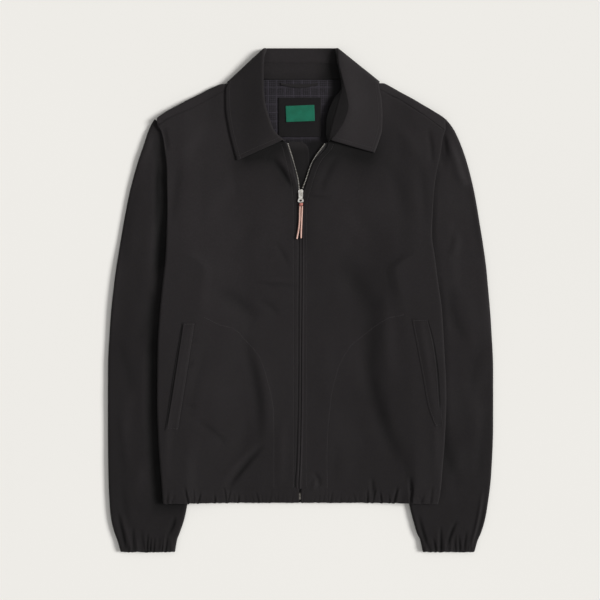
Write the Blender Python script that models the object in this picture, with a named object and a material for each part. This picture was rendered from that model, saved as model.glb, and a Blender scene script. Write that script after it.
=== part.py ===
"""Zip-front harrington jacket, lying flat on its back.

Lengths here are millimetres; the meshes are in metres. X runs across the body, +Y towards the
collar and +Z up from the surface the jacket lies on. "left" and "right" are the viewer's, looking
down at the front. Each side of the body is folded behind itself over the sleeve, so a cut across
the chest meets, from the top: front, back, back flange, front flange, sleeve.
"""

import bisect
import math

import bmesh
import bpy
from mathutils import Vector

MM = 0.001
SIDES = ("left", "right")
SIGN = {"left": -1.0, "right": 1.0}


def table(columns, *rows):
    """Rows of numbers, kept as one list under each column's name."""
    return {name: [row[i] for row in rows] for i, name in enumerate(columns.split())}


# ---------------------------------------------------------------- cloth and layers
SHELL = 2.0             # body wall: twill shell and what backs it
CASING_RISE = 1.2       # elastic casings stand this much prouder between their gathers
COLLAR = 2.0            # collar leaf and stand
SLEEVE = 2.4            # sleeve wall
THIN = 1.0              # lining, patch, zip tape, guard
WELT = 1.2              # pocket welt and hanger loop
SEAM = 0.3              # clearance wherever two pieces meet
SLEEVE_HEIGHT = 8.7     # a flattened sleeve, floor to top

BACK_FLOOR = 1.0        # middle of the back where it rests on the surface
BACK_SIDE = 15.0        # middle of the back where it lies over its own flange
FLANGE_STEP = 2.5       # from one folded layer's middle to the next
FRONT_FLANGE = 10.1     # middle of the front's flange, just above the sleeve
SPARE = 3.4             # extra height of the front over the back, away from the sides
KNEE = 10.4             # middle of the back where it has climbed over the sleeve's edge
BACK_TURN = 1.25        # radius of the back's side fold
BACK_INSET = 5.2        # from the body's edge to the centre of that fold
YOKE_DROP = 8.4         # how much lower the back's armhole edge lies than its side fold
NECK_LIFT = 2.7         # the back rises over the collar leaf that lies under it
THROAT_LIFT = 1.4       # the front rises over the zip guard and slider

HEM_BOTTOM = -325.0
HEM_SEAM = -303.0
CUFF_SEAM = -384.0
CUFF_BOTTOM = -404.0
FLAT_ROWS_END = 100.0   # above this the panels' rows slant up towards the neck
UNDERARM = 57.0
BACK_NECK = 352.0
BACK_ARMHOLE = 202.0    # the back's armhole edge, from the centre line

# Outer edge of the body: the side fold, then the armhole seam above the underarm.
BODY_EDGE = table(
    "y     left   right",
    (-326, 219.0, 221.0),
    (-303, 221.0, 225.5),
    (-268, 224.0, 228.5),
    (-223, 227.0, 232.0),
    (-156, 229.0, 234.5),
    (-74, 228.0, 231.0),
    (-12, 224.0, 227.0),
    (28, 220.0, 221.5),
    (70, 215.5, 216.0),
    (105, 214.0, 211.5),
    (153, 213.0, 213.5),
    (185, 213.5, 216.0),
    (213, 214.0, 220.5),
    (240, 217.0, 226.0),
    (258, 219.5, 228.5),
    (272, 223.5, 232.5),
    (281, 229.0, 235.0),
)
SIDE_FOLD = table(
    "y     width",
    (-326, 35),
    (-100, 48),
    (48, 60),
    (96, 6),
    (300, 6),
)
# Edge of each front from the centre line: zip, open neck, then neckline to the shoulder.
FRONT_EDGE = table(
    "y     left  right",
    (-326, 2.3, 2.1),
    (-303, 2.2, 2.0),
    (-285, 1.5, 1.4),
    (140, 1.5, 1.4),
    (168, 3.0, 4.4),
    (180, 4.0, 8.2),
    (192, 6.2, 11.6),
    (221, 13.0, 22.5),
    (254, 23.5, 45.5),
    (270, 48.0, 43.0),
    (288, 61.0, 43.5),
    (305, 70.0, 47.5),
    (325, 78.0, 56.0),
    (337, 81.5, 68.0),
    (345, 84.0, 84.0),
)
# The fold along the top of each shoulder, and the forward seam below it.
SHOULDER = table(
    "x    left   right  seam_left seam_right",
    (84, 353.0, 353.0, 345.0, 345.0),
    (105, 350.4, 350.6, 341.0, 342.5),
    (118, 349.0, 348.8, 338.0, 341.0),
    (128, 347.9, 349.6, 334.5, 338.6),
    (134, 345.6, 349.6, 331.5, 336.0),
    (142, 342.3, 346.1, 327.5, 332.0),
    (161, 332.2, 335.4, 317.0, 322.5),
    (181, 322.2, 324.3, 306.5, 310.0),
    (198, 312.7, 314.0, 299.0, 299.0),
    (216, 302.7, 303.1, 290.5, 286.0),
    (230, 292.8, 294.1, 281.0, 275.5),
    (236, 288.0, 288.5, 277.0, 271.0),
)
ARMHOLE_TOP = {"left": 281.0, "right": 273.5}
NECK_POINT = 345.0      # where the neckline meets the forward shoulder seam
YOKE_BACK = 11.3        # shoulder fold to the yoke's seam behind
YOKE_GAP = 0.55         # clearance of both seams, measured along Y
SHOULDER_SLOPE = 1.12   # lengthens the shoulder fold's turn along Y, because the fold slants

# Sleeves: outer and inner edges, from the centre line.
SLEEVE_EDGE = table(
    "y     outer_left outer_right inner_left inner_right",
    (-404, 288.7, 280.8, 201.0, 197.6),
    (-384, 294.6, 286.8, 197.5, 193.0),
    (-375, 298.2, 291.0, 194.0, 188.5),
    (-351, 304.2, 298.2, 186.0, 181.5),
    (-327, 306.6, 302.3, 181.0, 175.5),
    (-280, 308.5, 307.8, 170.0, 168.0),
    (-200, 309.3, 311.0, 150.0, 150.0),
    (-111, 309.2, 311.0, 142.0, 142.0),
    (-39, 305.7, 307.5, 138.0, 138.0),
    (33, 298.4, 301.6, 146.0, 146.0),
    (57, 295.0, 299.2, 154.0, 154.0),
    (129, 283.2, 288.5, 154.0, 154.0),
    (177, 273.6, 280.0, 154.0, 154.0),
    (225, 260.2, 267.8, 154.0, 154.0),
    (249, 252.0, 259.5, 154.0, 154.0),
    (273, 244.0, 248.6, 154.0, 154.0),
    (283, 239.6, 242.0, 154.0, 154.0),
    (291, 234.6, 235.4, 154.0, 154.0),
)
# Above the underarm a sleeve is open: where its upper and lower walls end.
SLEEVE_OPEN = table(
    "y    top    bottom drop_top drop_bottom",
    (57, 154.0, 154.0, 0.0, 0.0),
    (65, 156.0, 172.0, 0.0, 0.0),
    (74, 174.0, 184.0, 0.0, 0.0),
    (97, 206.0, 190.0, 0.0, 0.0),
    (180, 206.0, 190.0, 0.0, 0.0),
    (250, 206.0, 190.0, 6.0, 7.0),
    (291, 207.0, 192.0, 20.0, 12.0),
)

# The largest soft folds: a line from start to end that bows sideways. Troughs are negative.
BODY_FOLDS = table(
    "x0    y0    x1    y1    bow  height width",
    (83, 8, 158, -270, -11, -1.5, 15),
    (-72, -140, -119, -304, 5, -1.2, 13),
    (-74, 24, -4, 21, 0, -0.6, 7),
    (-48, 240, -15, 172, 3, -0.9, 6),
    (60, 200, 160, 60, 14, 0.9, 22),
    (-70, 150, -170, 10, -10, 0.8, 22),
    (30, -40, 52, -290, 5, 0.7, 14),
)
SLEEVE_FOLDS = table(
    "x0    y0    x1    y1    bow  height width",
    (231, 276, 226, 205, 4, -2.2, 7),
    (240, 272, 266, 176, -3, 1.3, 8),
    (-226, 272, -219, 180, -2, -1.8, 7),
    (-240, 268, -262, 190, 2, 0.8, 7),
    (246, 40, 282, -120, 6, 1.0, 14),
    (-252, 20, -283, -150, -6, 0.9, 14),
    (262, -230, 236, -330, -6, 1.0, 12),
    (-262, -240, -238, -340, 6, -1.1, 11),
    (-224, 190, -230, -300, 9, -2.2, 8),
    (224, 60, 234, -290, -6, -1.2, 7),
)

# Gathers of the elastic casings, each a groove across the casing.
HEM_GATHERS = table(
    "x     depth width",
    (-211, 1.5, 3.4),
    (-201, 1.1, 3.0),
    (-184, 1.7, 4.0),
    (-171, 0.8, 3.0),
    (-159, 1.4, 3.6),
    (-139, 1.6, 4.0),
    (-122, 1.2, 3.4),
    (-112, 0.8, 3.0),
    (-99, 1.3, 3.6),
    (-72, 0.8, 4.2),
    (-46, 0.4, 4.0),
    (52, 0.4, 4.0),
    (84, 0.6, 4.0),
    (108, 1.1, 3.4),
    (121, 0.8, 3.0),
    (128, 1.2, 3.0),
    (141, 0.7, 3.2),
    (155, 1.5, 4.0),
    (177, 1.7, 4.0),
    (189, 1.0, 3.0),
    (198, 1.4, 3.2),
    (211, 1.3, 3.0),
)
CUFF_GATHERS = table(
    "x     depth width",
    (-284, 1.2, 2.6),
    (-277, 0.9, 2.2),
    (-269, 1.5, 2.8),
    (-258, 0.8, 2.6),
    (-246, 1.4, 2.8),
    (-238, 1.0, 2.4),
    (-226, 0.8, 2.8),
    (-215, 1.5, 2.8),
    (-206, 1.1, 2.4),
    (203, 1.2, 2.6),
    (213, 0.8, 2.6),
    (226, 1.6, 3.0),
    (239, 1.3, 2.8),
    (248, 0.7, 2.4),
    (257, 1.4, 2.6),
    (267, 1.5, 2.6),
    (274, 0.9, 2.2),
)

# Stations round the collar, from its front end to the centre back. For each: where the stand is
# sewn to the neckline (n), where leaf and stand are joined (s), the roll (r), and the leaf's free
# edge (o). The heights are above the front's upper face. over is 1 where the collar lies on the
# fronts and 0 where it lies behind the neck.
COLLAR_STATIONS = {
    "left": table(
        "nx   ny     sx    sy     rx    ry     ox     oy     n_up s_up r_up over",
        (24.0, 256.0, 25.5, 256.6, 29.0, 257.5, 101.0, 225.5, 1.6, 2.8, 6.0, 1.0),
        (43.0, 268.0, 42.0, 268.5, 42.0, 271.0, 107.0, 246.5, 1.6, 3.0, 7.8, 1.0),
        (60.0, 291.0, 56.0, 292.0, 50.5, 293.5, 114.0, 277.0, 1.6, 3.8, 8.0, 1.0),
        (71.5, 314.0, 65.0, 315.5, 57.0, 318.0, 118.5, 308.0, 1.6, 3.8, 8.2, 1.0),
        (78.0, 336.0, 68.5, 340.0, 59.0, 344.0, 119.0, 330.0, 1.6, 3.4, 7.6, 1.0),
        (80.5, 350.5, 68.5, 361.0, 59.3, 372.0, 118.2, 341.0, 1.4, 2.6, 6.4, 1.0),
        (80.5, 356.0, 67.0, 371.0, 58.6, 391.0, 116.0, 346.0, 0.2, 1.2, 5.0, 1.0),
        (79.8, 357.6, 65.5, 378.5, 57.2, 401.8, 116.2, 349.2, -0.8, -0.2, 3.0, 0.85),
        (78.5, 358.0, 63.5, 380.5, 55.8, 404.4, 116.6, 350.6, -0.4, 0.6, 2.0, 0.5),
        (76.0, 357.8, 61.5, 381.3, 54.4, 405.0, 115.4, 349.2, 0.0, 0.0, 0.0, 0.15),
        (68.0, 356.6, 57.0, 381.8, 50.0, 405.3, 108.0, 341.0, 0.0, 0.0, 0.0, 0.0),
        (38.0, 355.6, 36.0, 382.0, 32.0, 405.3, 58.0, 330.0, 0.0, 0.0, 0.0, 0.0),
        (0.0, 355.4, 0.0, 382.0, 0.0, 405.3, 0.0, 327.0, 0.0, 0.0, 0.0, 0.0),
    ),
    "right": table(
        "nx   ny     sx    sy     rx    ry     ox     oy     n_up s_up r_up over",
        (45.0, 255.4, 46.5, 256.0, 50.0, 257.5, 119.6, 237.6, 1.6, 3.6, 6.2, 1.0),
        (42.0, 268.0, 48.0, 267.5, 60.0, 269.0, 125.6, 254.0, 1.7, 4.6, 8.0, 1.0),
        (42.3, 287.0, 52.0, 287.5, 72.0, 290.0, 131.5, 276.0, 1.7, 5.0, 8.6, 1.0),
        (46.0, 304.0, 57.0, 305.0, 77.5, 310.0, 132.0, 300.0, 1.7, 5.0, 8.6, 1.0),
        (54.0, 322.0, 63.0, 325.5, 75.0, 328.0, 130.5, 322.0, 1.7, 4.6, 8.0, 1.0),
        (69.5, 339.5, 67.0, 342.5, 69.5, 350.0, 128.0, 336.0, 1.5, 5.4, 8.0, 1.0),
        (79.5, 354.5, 66.5, 366.0, 60.5, 386.0, 126.5, 345.5, 0.6, 1.8, 5.4, 1.0),
        (79.0, 357.2, 66.5, 378.0, 59.6, 402.0, 127.2, 349.8, -0.8, -0.2, 3.0, 0.85),
        (78.3, 358.0, 65.0, 380.5, 58.8, 404.4, 127.6, 351.4, -0.4, 0.6, 2.0, 0.5),
        (76.0, 357.8, 63.0, 381.3, 57.4, 405.0, 126.0, 350.0, 0.0, 0.0, 0.0, 0.15),
        (68.0, 356.6, 58.0, 381.8, 52.0, 405.3, 117.0, 341.0, 0.0, 0.0, 0.0, 0.0),
        (38.0, 355.6, 36.0, 382.0, 32.0, 405.3, 62.0, 330.0, 0.0, 0.0, 0.0, 0.0),
        (0.0, 355.4, 0.0, 382.0, 0.0, 405.3, 0.0, 327.0, 0.0, 0.0, 0.0, 0.0),
    ),
}
COLLAR_BEHIND = {"n": 4.6, "s": 5.2, "r": 3.15}     # the same heights behind the neck
LEAF_FLOAT = 1.9        # the leaf's middle over the front's upper face, at its free edge
LEAF_FALL = 1.7         # how quickly the leaf comes down from its roll
LEAF_FLOOR = 1.1        # middle of the leaf where it lies under the back
ROLL_RADIUS = 2.05      # of the turn at the roll, to the middle of the wall
LEAF_SEAM = 0.45        # each wall stops this far from the line where they are joined

# Zip: inner edge of each tape from the centre line, then the slider and its pull.
ZIP_LINE = table(
    "y     left   right",
    (-319, 0.15, 0.15),
    (160, 0.15, 0.15),
    (170, 0.2, 2.7),
    (180, 1.6, 4.6),
    (192, 2.9, 9.0),
    (221, 10.0, 19.0),
    (254, 20.2, 41.8),
)
TAPE_WIDTH = 12.0
GUARD_OUTLINE = table(
    "y    left right",
    (118, 15.0, 14.0),
    (190, 16.0, 14.4),
    (225, 18.0, 14.4),
    (243, 19.0, 13.4),
    (250, 19.2, 9.8),
    (255.5, 18.6, 3.4),
)
POCKETS = {
    "left": table(
        "y     inner  outer",
        (-208, 194.2, 215.3),
        (-120, 180.5, 202.0),
        (-35, 167.3, 187.8),
    ),
    "right": table(
        "y     inner  outer",
        (-202, 217.0, 228.6),
        (-171, 206.0, 225.0),
        (-119, 196.5, 221.8),
        (-71, 187.5, 215.2),
        (-29, 179.5, 204.6),
    ),
}
PIVOT = (1.2, 172.5, 11.6)      # the pull tab's crossbar, which is its joint's axis
CROSSBAR = 0.6                  # its radius
STRANDS = {
    "left": ((-0.2, 151.2, 11.8), (-0.5, 143.0, 11.6), (-0.9, 128.0, 11.3), (-2.5, 113.0, 10.9),
             (-5.1, 99.0, 10.4)),
    "right": ((3.5, 151.2, 11.8), (3.1, 142.0, 11.7), (2.5, 127.0, 11.3), (1.9, 113.0, 10.9),
              (1.6, 100.0, 10.4)),
}
STRAND_RADIUS = 1.3

# Colours as linear RGB, with roughness and metallic.
FINISHES = {
    "twill": ((0.022, 0.020, 0.021), 0.85, 0.0),
    "twill_inside": ((0.018, 0.016, 0.017), 0.88, 0.0),
    "lining": ((0.034, 0.031, 0.032), 0.80, 0.0),
    "patch": ((0.014, 0.012, 0.013), 0.85, 0.0),
    "label_green": ((0.013, 0.141, 0.085), 0.70, 0.0),
    "tape": ((0.012, 0.011, 0.012), 0.80, 0.0),
    "metal": ((0.50, 0.47, 0.41), 0.32, 1.0),
    "leather": ((0.45, 0.26, 0.19), 0.60, 0.0),
    "leather_knot": ((0.30, 0.12, 0.08), 0.60, 0.0),
}


# ---------------------------------------------------------------- numbers
def read(data, column, at, along="y"):
    """A column's value at a place, on a smooth curve that never overshoots the rows."""
    xs, ys = data[along], data[column]
    if at <= xs[0]:
        return ys[0]
    if at >= xs[-1]:
        return ys[-1]
    i = bisect.bisect_right(xs, at) - 1
    steps = [xs[k + 1] - xs[k] for k in range(len(xs) - 1)]
    rises = [(ys[k + 1] - ys[k]) / steps[k] for k in range(len(steps))]

    def slope(k):
        if k in (0, len(xs) - 1):
            return rises[min(k, len(rises) - 1)]
        if rises[k - 1] * rises[k] <= 0:
            return 0.0
        before, after = 2 * steps[k] + steps[k - 1], steps[k] + 2 * steps[k - 1]
        return (before + after) / (before / rises[k - 1] + after / rises[k])

    t = (at - xs[i]) / steps[i]
    start, end = slope(i) * steps[i], slope(i + 1) * steps[i]
    return (ys[i] * (1 + 2 * t) * (1 - t) ** 2 + start * t * (1 - t) ** 2
            + ys[i + 1] * t * t * (3 - 2 * t) + end * t * t * (t - 1))


def smooth(value, start, end):
    """0 before start, 1 after end and an easy curve between them."""
    t = min(1.0, max(0.0, (value - start) / (end - start)))
    return t * t * (3 - 2 * t)


def mix(a, b, t):
    return a + (b - a) * t


def spread(anchors, counts):
    """Positions from anchor to anchor, with the given number of equal steps in each stretch."""
    places = [anchors[0]]
    for start, end, count in zip(anchors, anchors[1:], counts):
        places += [mix(start, end, k / count) for k in range(1, count + 1)]
    return places


def fold_height(folds, x, y):
    """Sum of the soft folds at a point of the cloth."""
    total = 0.0
    for x0, y0, x1, y1, bow, height, width in zip(*(folds[name] for name in (
            "x0", "y0", "x1", "y1", "bow", "height", "width"))):
        length = math.hypot(x1 - x0, y1 - y0)
        ux, uy = (x1 - x0) / length, (y1 - y0) / length
        t = ((x - x0) * ux + (y - y0) * uy) / length
        if 0.0 < t < 1.0:
            across = (y - y0) * ux - (x - x0) * uy - bow * 4 * t * (1 - t)
            total += height * math.sin(math.pi * t) * math.exp(-(across / width) ** 2)
    return total


def groove_depth(gathers, x):
    """Depth of the casing's gathers at a place along it."""
    return sum(depth * math.exp(-((x - place) / width) ** 2)
               for place, depth, width in zip(gathers["x"], gathers["depth"], gathers["width"]))


# ---------------------------------------------------------------- where the layers lie
def edge(side, y):
    return read(BODY_EDGE, side, y)


def yoke_share(y):
    """0 where the side is folded in four layers, 1 up at the armhole."""
    return smooth(y, 85.0, 160.0)


def side_seam(side, y):
    return edge(side, y) - read(SIDE_FOLD, "width", y)


def ramp_end(side, y):
    return min(side_seam(side, y) - 2.0, 192.0)


def knee(side, y):
    return min(read(SLEEVE_EDGE, "inner_" + side, y), ramp_end(side, y) - 20.0)


def side_share(side, x, y):
    """0 over the middle of the body, 1 beside the side fold."""
    return smooth(x, 55.0, ramp_end(side, y) - 6.0)


def back_mid(side, x, y):
    """Height of the middle of the back, x from the centre line."""
    upper = yoke_share(y)
    side_height = BACK_SIDE - YOKE_DROP * upper
    profile = table(
        "x z",
        (0.0, BACK_FLOOR),
        (80.0, BACK_FLOOR),
        (knee(side, y), KNEE - 7.4 * upper),
        (ramp_end(side, y), side_height),
        (400.0, side_height),
    )
    neck = NECK_LIFT * smooth(y, 262.0, 322.0) * (1 - smooth(x, 120.0, 150.0))
    fold = fold_height(BODY_FOLDS, SIGN[side] * x, y) * side_share(side, x, y)
    return read(profile, "z", x, "x") + neck + fold * (1 - smooth(x, 150.0, 175.0))


def front_mid(side, x, y):
    """Height of the middle of the front."""
    share = side_share(side, x, y)
    spare = SPARE * (1 - share * (1 - yoke_share(y)))
    throat = THROAT_LIFT * smooth(y, 60.0, 140.0) * (1 - smooth(x, 55.0, 95.0))
    fold = fold_height(BODY_FOLDS, SIGN[side] * x, y) * (1 - share)
    return back_mid(side, x, y) + FLANGE_STEP + spare + throat + fold


def front_turn(y):
    """Radius of the front's side fold, and the height of its centre."""
    top = BACK_SIDE + FLANGE_STEP + (SPARE - YOKE_DROP) * yoke_share(y)
    return (top - FRONT_FLANGE) / 2, (top + FRONT_FLANGE) / 2


def front_skin(side, x, y):
    """Height of the front's upper face, which curves down at the side fold."""
    radius, centre = front_turn(y)
    middle = edge(side, y) - radius - SHELL / 2
    if x <= middle:
        return front_mid(side, x, y) + SHELL / 2
    reach = min(1.0, (x - middle) / (radius + SHELL / 2))
    return centre + (radius + SHELL / 2) * math.sqrt(1 - reach * reach)


def back_neck_line(side, x):
    """Top edge of the back: straight across the neck, then just behind the shoulder fold."""
    return min(BACK_NECK, read(SHOULDER, side, x, "x") - YOKE_BACK)


def front_seam_line(side, x):
    """Forward shoulder seam."""
    return read(SHOULDER, "seam_" + side, x, "x")


def arc(centre_x, centre_z, radius, start, end, count):
    """Points of a turn seen along Y, angles in degrees, without its first point."""
    angles = [math.radians(mix(start, end, k / count)) for k in range(1, count + 1)]
    return [(centre_x + radius * math.cos(a), centre_z + radius * math.sin(a)) for a in angles]


# ---------------------------------------------------------------- solids
def material(name):
    colour, roughness, metallic = FINISHES[name]
    found = bpy.data.materials.get(name)
    if found:
        return found
    made = bpy.data.materials.new(name)
    made.use_nodes = True
    shader = made.node_tree.nodes["Principled BSDF"]
    shader.inputs["Base Color"].default_value = (*colour, 1.0)
    shader.inputs["Roughness"].default_value = roughness
    shader.inputs["Metallic"].default_value = metallic
    made.diffuse_color = (*colour, 1.0)
    return made


def finish_mesh(name, bm, finish, origin=(0.0, 0.0, 0.0), sharp_degrees=50.0):
    """Turn a bmesh in millimetres into a named object in metres, its origin at a given point."""
    bmesh.ops.recalc_face_normals(bm, faces=bm.faces)
    for vert in bm.verts:
        vert.co = (vert.co - Vector(origin)) * MM
    mesh = bpy.data.meshes.new(name)
    bm.to_mesh(mesh)
    bm.free()
    mesh.shade_smooth()
    mesh.set_sharp_from_angle(angle=math.radians(sharp_degrees))
    mesh.materials.append(material(finish))
    made = bpy.data.objects.new(name, mesh)
    made.location = Vector(origin) * MM
    bpy.context.scene.collection.objects.link(made)
    return made


def grid_normals(rows, ring):
    """Unit normal at each point of a grid, lengthened so that offsets keep the wall's thickness."""
    count_r, count_c = len(rows), len(rows[0])
    spans = count_c if ring else count_c - 1
    points = [[Vector(p) for p in row] for row in rows]
    faces = []
    for j in range(count_r - 1):
        line = []
        for i in range(spans):
            a, b = points[j][i], points[j][(i + 1) % count_c]
            c, d = points[j + 1][(i + 1) % count_c], points[j + 1][i]
            line.append((b + c - a - d).cross(c + d - a - b).normalized())
        faces.append(line)
    normals = []
    for j in range(count_r):
        line = []
        for i in range(count_c):
            near = []
            for jj in (j - 1, j):
                for ii in (i - 1, i):
                    if 0 <= jj < count_r - 1 and (ring or 0 <= ii < spans):
                        near.append(faces[jj][ii % spans])
            normal = sum(near, Vector()).normalized()
            spread_out = sum(normal.dot(face) for face in near) / len(near)
            line.append(normal / max(0.8, spread_out))
        normals.append(line)
    return points, normals


def wall(name, rows, finish, outer, inner, ring=False, facing=1.0):
    """One closed wall of cloth about a grid on its middle surface.

    outer is the distance to its outer face, one number or a number for each point.
    """
    points, normals = grid_normals(rows, ring)
    count_r, count_c = len(rows), len(rows[0])
    bm = bmesh.new()
    sheets = []
    for sign, depth in ((facing, outer), (-facing, inner)):
        sheet = []
        for j in range(count_r):
            reach = [depth[j][i] if isinstance(depth, list) else depth for i in range(count_c)]
            sheet.append([bm.verts.new(points[j][i] + normals[j][i] * sign * reach[i])
                          for i in range(count_c)])
        sheets.append(sheet)
    for vert in bm.verts:
        vert.co.z = max(0.0, vert.co.z)
    upper, lower = sheets
    spans = count_c if ring else count_c - 1
    for j in range(count_r - 1):
        for i in range(spans):
            k = (i + 1) % count_c
            rising = (points[j][i] + points[j + 1][k]).z > (points[j][k] + points[j + 1][i]).z
            for sheet in sheets:
                a, b, c, d = sheet[j][i], sheet[j][k], sheet[j + 1][k], sheet[j + 1][i]
                for corners in ((a, b, c), (a, c, d)) if rising else ((a, b, d), (b, c, d)):
                    bm.faces.new(corners if sheet is upper else corners[::-1])
    for i in range(spans):
        k = (i + 1) % count_c
        bm.faces.new((upper[0][k], upper[0][i], lower[0][i], lower[0][k]))
        bm.faces.new((upper[-1][i], upper[-1][k], lower[-1][k], lower[-1][i]))
    if not ring:
        for j in range(count_r - 1):
            bm.faces.new((upper[j][0], upper[j + 1][0], lower[j + 1][0], lower[j][0]))
            bm.faces.new((upper[j + 1][-1], upper[j][-1], lower[j][-1], lower[j + 1][-1]))
    return finish_mesh(name, bm, finish)


# ---------------------------------------------------------------- body
BODY_ROWS = (-302.7, -268.0, -228.0, -180.0, -125.0, -70.0, -18.0, 24.0, 48.0, 58.0, 68.0, 78.0,
             88.0, FLAT_ROWS_END)
UPPER_SHARES = (0.12, 0.24, 0.36, 0.48, 0.59, 0.69, 0.78, 0.86, 0.93, 1.0)


def front_row(side, y_side, inner_x, inner_y, counts):
    """One row across a front: from its zip or neck edge out, round the side fold and under."""
    radius, centre = front_turn(y_side)
    turn = edge(side, y_side) - radius - SHELL / 2
    end = ramp_end(side, y_side)
    middle = max(80.0, mix(inner_x, knee(side, y_side), 0.35))
    anchors = (inner_x, middle, knee(side, y_side), end, turn)
    start, finish = read(FRONT_EDGE, side, NECK_POINT), edge(side, ARMHOLE_TOP[side])
    row = []
    for x in spread(anchors, counts[:4]):
        share = (x - inner_x) / (turn - inner_x)
        bow = (front_seam_line(side, mix(start, finish, share)) - NECK_POINT) / (
            ARMHOLE_TOP[side] - NECK_POINT)
        y = mix(inner_y, y_side, bow)
        row.append((x, y, front_mid(side, x, y)))
    row += [(x, y_side, z) for x, z in arc(turn, centre, radius, 90, -90, counts[4])]
    flange = spread((turn, side_seam(side, y_side)), counts[5:])[1:]
    row += [(x, y_side, FRONT_FLANGE) for x in flange]
    return [(SIGN[side] * x, y, z) for x, y, z in row]


def front(side):
    counts = (4, 2, 2, 1, 4, 1)
    rows = [front_row(side, y, read(FRONT_EDGE, side, y), y, counts) for y in BODY_ROWS]
    for share in UPPER_SHARES:
        y_side = mix(FLAT_ROWS_END, ARMHOLE_TOP[side], share)
        y_inner = mix(FLAT_ROWS_END, NECK_POINT, share)
        rows.append(front_row(side, y_side, read(FRONT_EDGE, side, y_inner), y_inner, counts))
    return wall("front_" + side, rows, "twill", SHELL / 2, SHELL / 2, facing=SIGN[side])


def back_half_row(side, share, y):
    """Half a row across the back, from the centre line out, round its side fold and under."""
    upper = smooth(y, 70.0, 98.0)
    top = FLAT_ROWS_END + share * (back_neck_line(side, BACK_ARMHOLE) - FLAT_ROWS_END)
    y_side = top if share > 0 else y
    turn = mix(edge(side, y_side) - BACK_INSET, BACK_ARMHOLE - BACK_TURN - SHELL / 2, upper)
    seam = mix(side_seam(side, y_side), BACK_ARMHOLE - 8.0, upper)
    anchors = (0.0, 80.0, knee(side, y_side), ramp_end(side, y_side), turn)
    row = []
    for x in spread(anchors, (1, 2, 2, 1)):
        y_here = y if share == 0 else mix(FLAT_ROWS_END, back_neck_line(side, x), share)
        row.append((x, y_here, back_mid(side, x, y_here)))
    y_turn, z_turn = row[-1][1], row[-1][2]
    row += [(x, y_turn, z)
            for x, z in arc(turn, z_turn - BACK_TURN, BACK_TURN, 90, -90, 3)]
    row.append((seam, y_turn, z_turn - 2 * BACK_TURN))
    return [(SIGN[side] * x, y_point, z) for x, y_point, z in row]


def back_row(share, y):
    left, right = (back_half_row(side, share, y) for side in SIDES)
    return left[::-1] + right[1:]


def back():
    rows = [back_row(0.0, y) for y in BODY_ROWS]
    rows += [back_row(share, FLAT_ROWS_END + 1.0) for share in UPPER_SHARES]
    return wall("back", rows, "twill", SHELL / 2, SHELL / 2, facing=-1.0)


def yoke(side):
    """The strip over the shoulder, from the forward seam over the fold to the seam behind."""
    neck, shoulder = read(FRONT_EDGE, side, NECK_POINT), edge(side, ARMHOLE_TOP[side])
    rows = []
    for x in [neck + 2.5] + spread((107.0, 154.0, 192.0, shoulder), (3, 3, 3)):
        fold = read(SHOULDER, side, x, "x")
        front_y = front_seam_line(side, x) + YOKE_GAP
        back_y = fold - YOKE_BACK + YOKE_GAP
        top = front_mid(side, x, front_y)
        low = mix(back_mid(side, min(x, 196.0), back_y), FRONT_FLANGE, smooth(x, 193.0, 206.0))
        radius = (top - low) / 2
        centre = fold - (radius + SHELL / 2) * SHOULDER_SLOPE
        row = [(front_y, top)]
        row += [(centre + radius * SHOULDER_SLOPE * math.cos(a),
                 (top + low) / 2 + radius * math.sin(a))
                for a in (math.radians(d) for d in (90, 55, 20, -20, -55, -90))]
        row.append((back_y, low))
        rows.append([(SIGN[side] * x, y, z) for y, z in row])
    return wall("yoke_" + side, rows, "twill", SHELL / 2, SHELL / 2, facing=-SIGN[side])


def casing_reach(rows, gathers, faces_up, wall_half):
    """Distance to a casing's outer face: grooved where its columns face up, plain underneath."""
    reach = []
    for row in rows:
        line = []
        for (x, _, _), share in zip(row, faces_up):
            raised = CASING_RISE - groove_depth(gathers, x)
            line.append(max(0.5, wall_half + share * raised))
        reach.append(line)
    return reach


def hem_front(side):
    counts = (12, 28, 7, 11, 5, 2)
    rows = [front_row(side, y, read(FRONT_EDGE, side, y), y, counts)
            for y in (HEM_BOTTOM, -314.5, HEM_SEAM - SEAM)]
    turned_under = sum(counts[:4]) + 2
    faces_up = [smooth(turned_under - k, 0.0, 2.0) for k in range(len(rows[0]))]
    reach = casing_reach(rows, HEM_GATHERS, faces_up, SHELL / 2)
    return wall("hem_" + side, rows, "twill", reach, SHELL / 2, facing=SIGN[side])


def hem_back():
    rows = [back_row(0.0, y) for y in (HEM_BOTTOM, -314.5, HEM_SEAM - SEAM)]
    return wall("hem_back", rows, "twill", SHELL / 2, SHELL / 2, facing=-1.0)


def pocket_welt(side):
    shape = POCKETS[side]
    lift = SEAM + WELT / 2
    rows = []
    for y in spread((shape["y"][0], shape["y"][-1]), (7,)):
        inner, outer = read(shape, "inner", y), read(shape, "outer", y)
        places = [mix(inner, outer, k / 3) for k in range(4)]
        rows.append([(SIGN[side] * x, y, front_skin(side, x, y) + lift) for x in places])
    return wall("pocket_welt_" + side, rows, "twill", WELT / 2, WELT / 2, facing=SIGN[side])


# ---------------------------------------------------------------- sleeves
def sleeve_height(side, x, y):
    """Middle of the sleeve's upper wall."""
    return SLEEVE_HEIGHT - SLEEVE / 2 + fold_height(SLEEVE_FOLDS, SIGN[side] * x, y)


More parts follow.
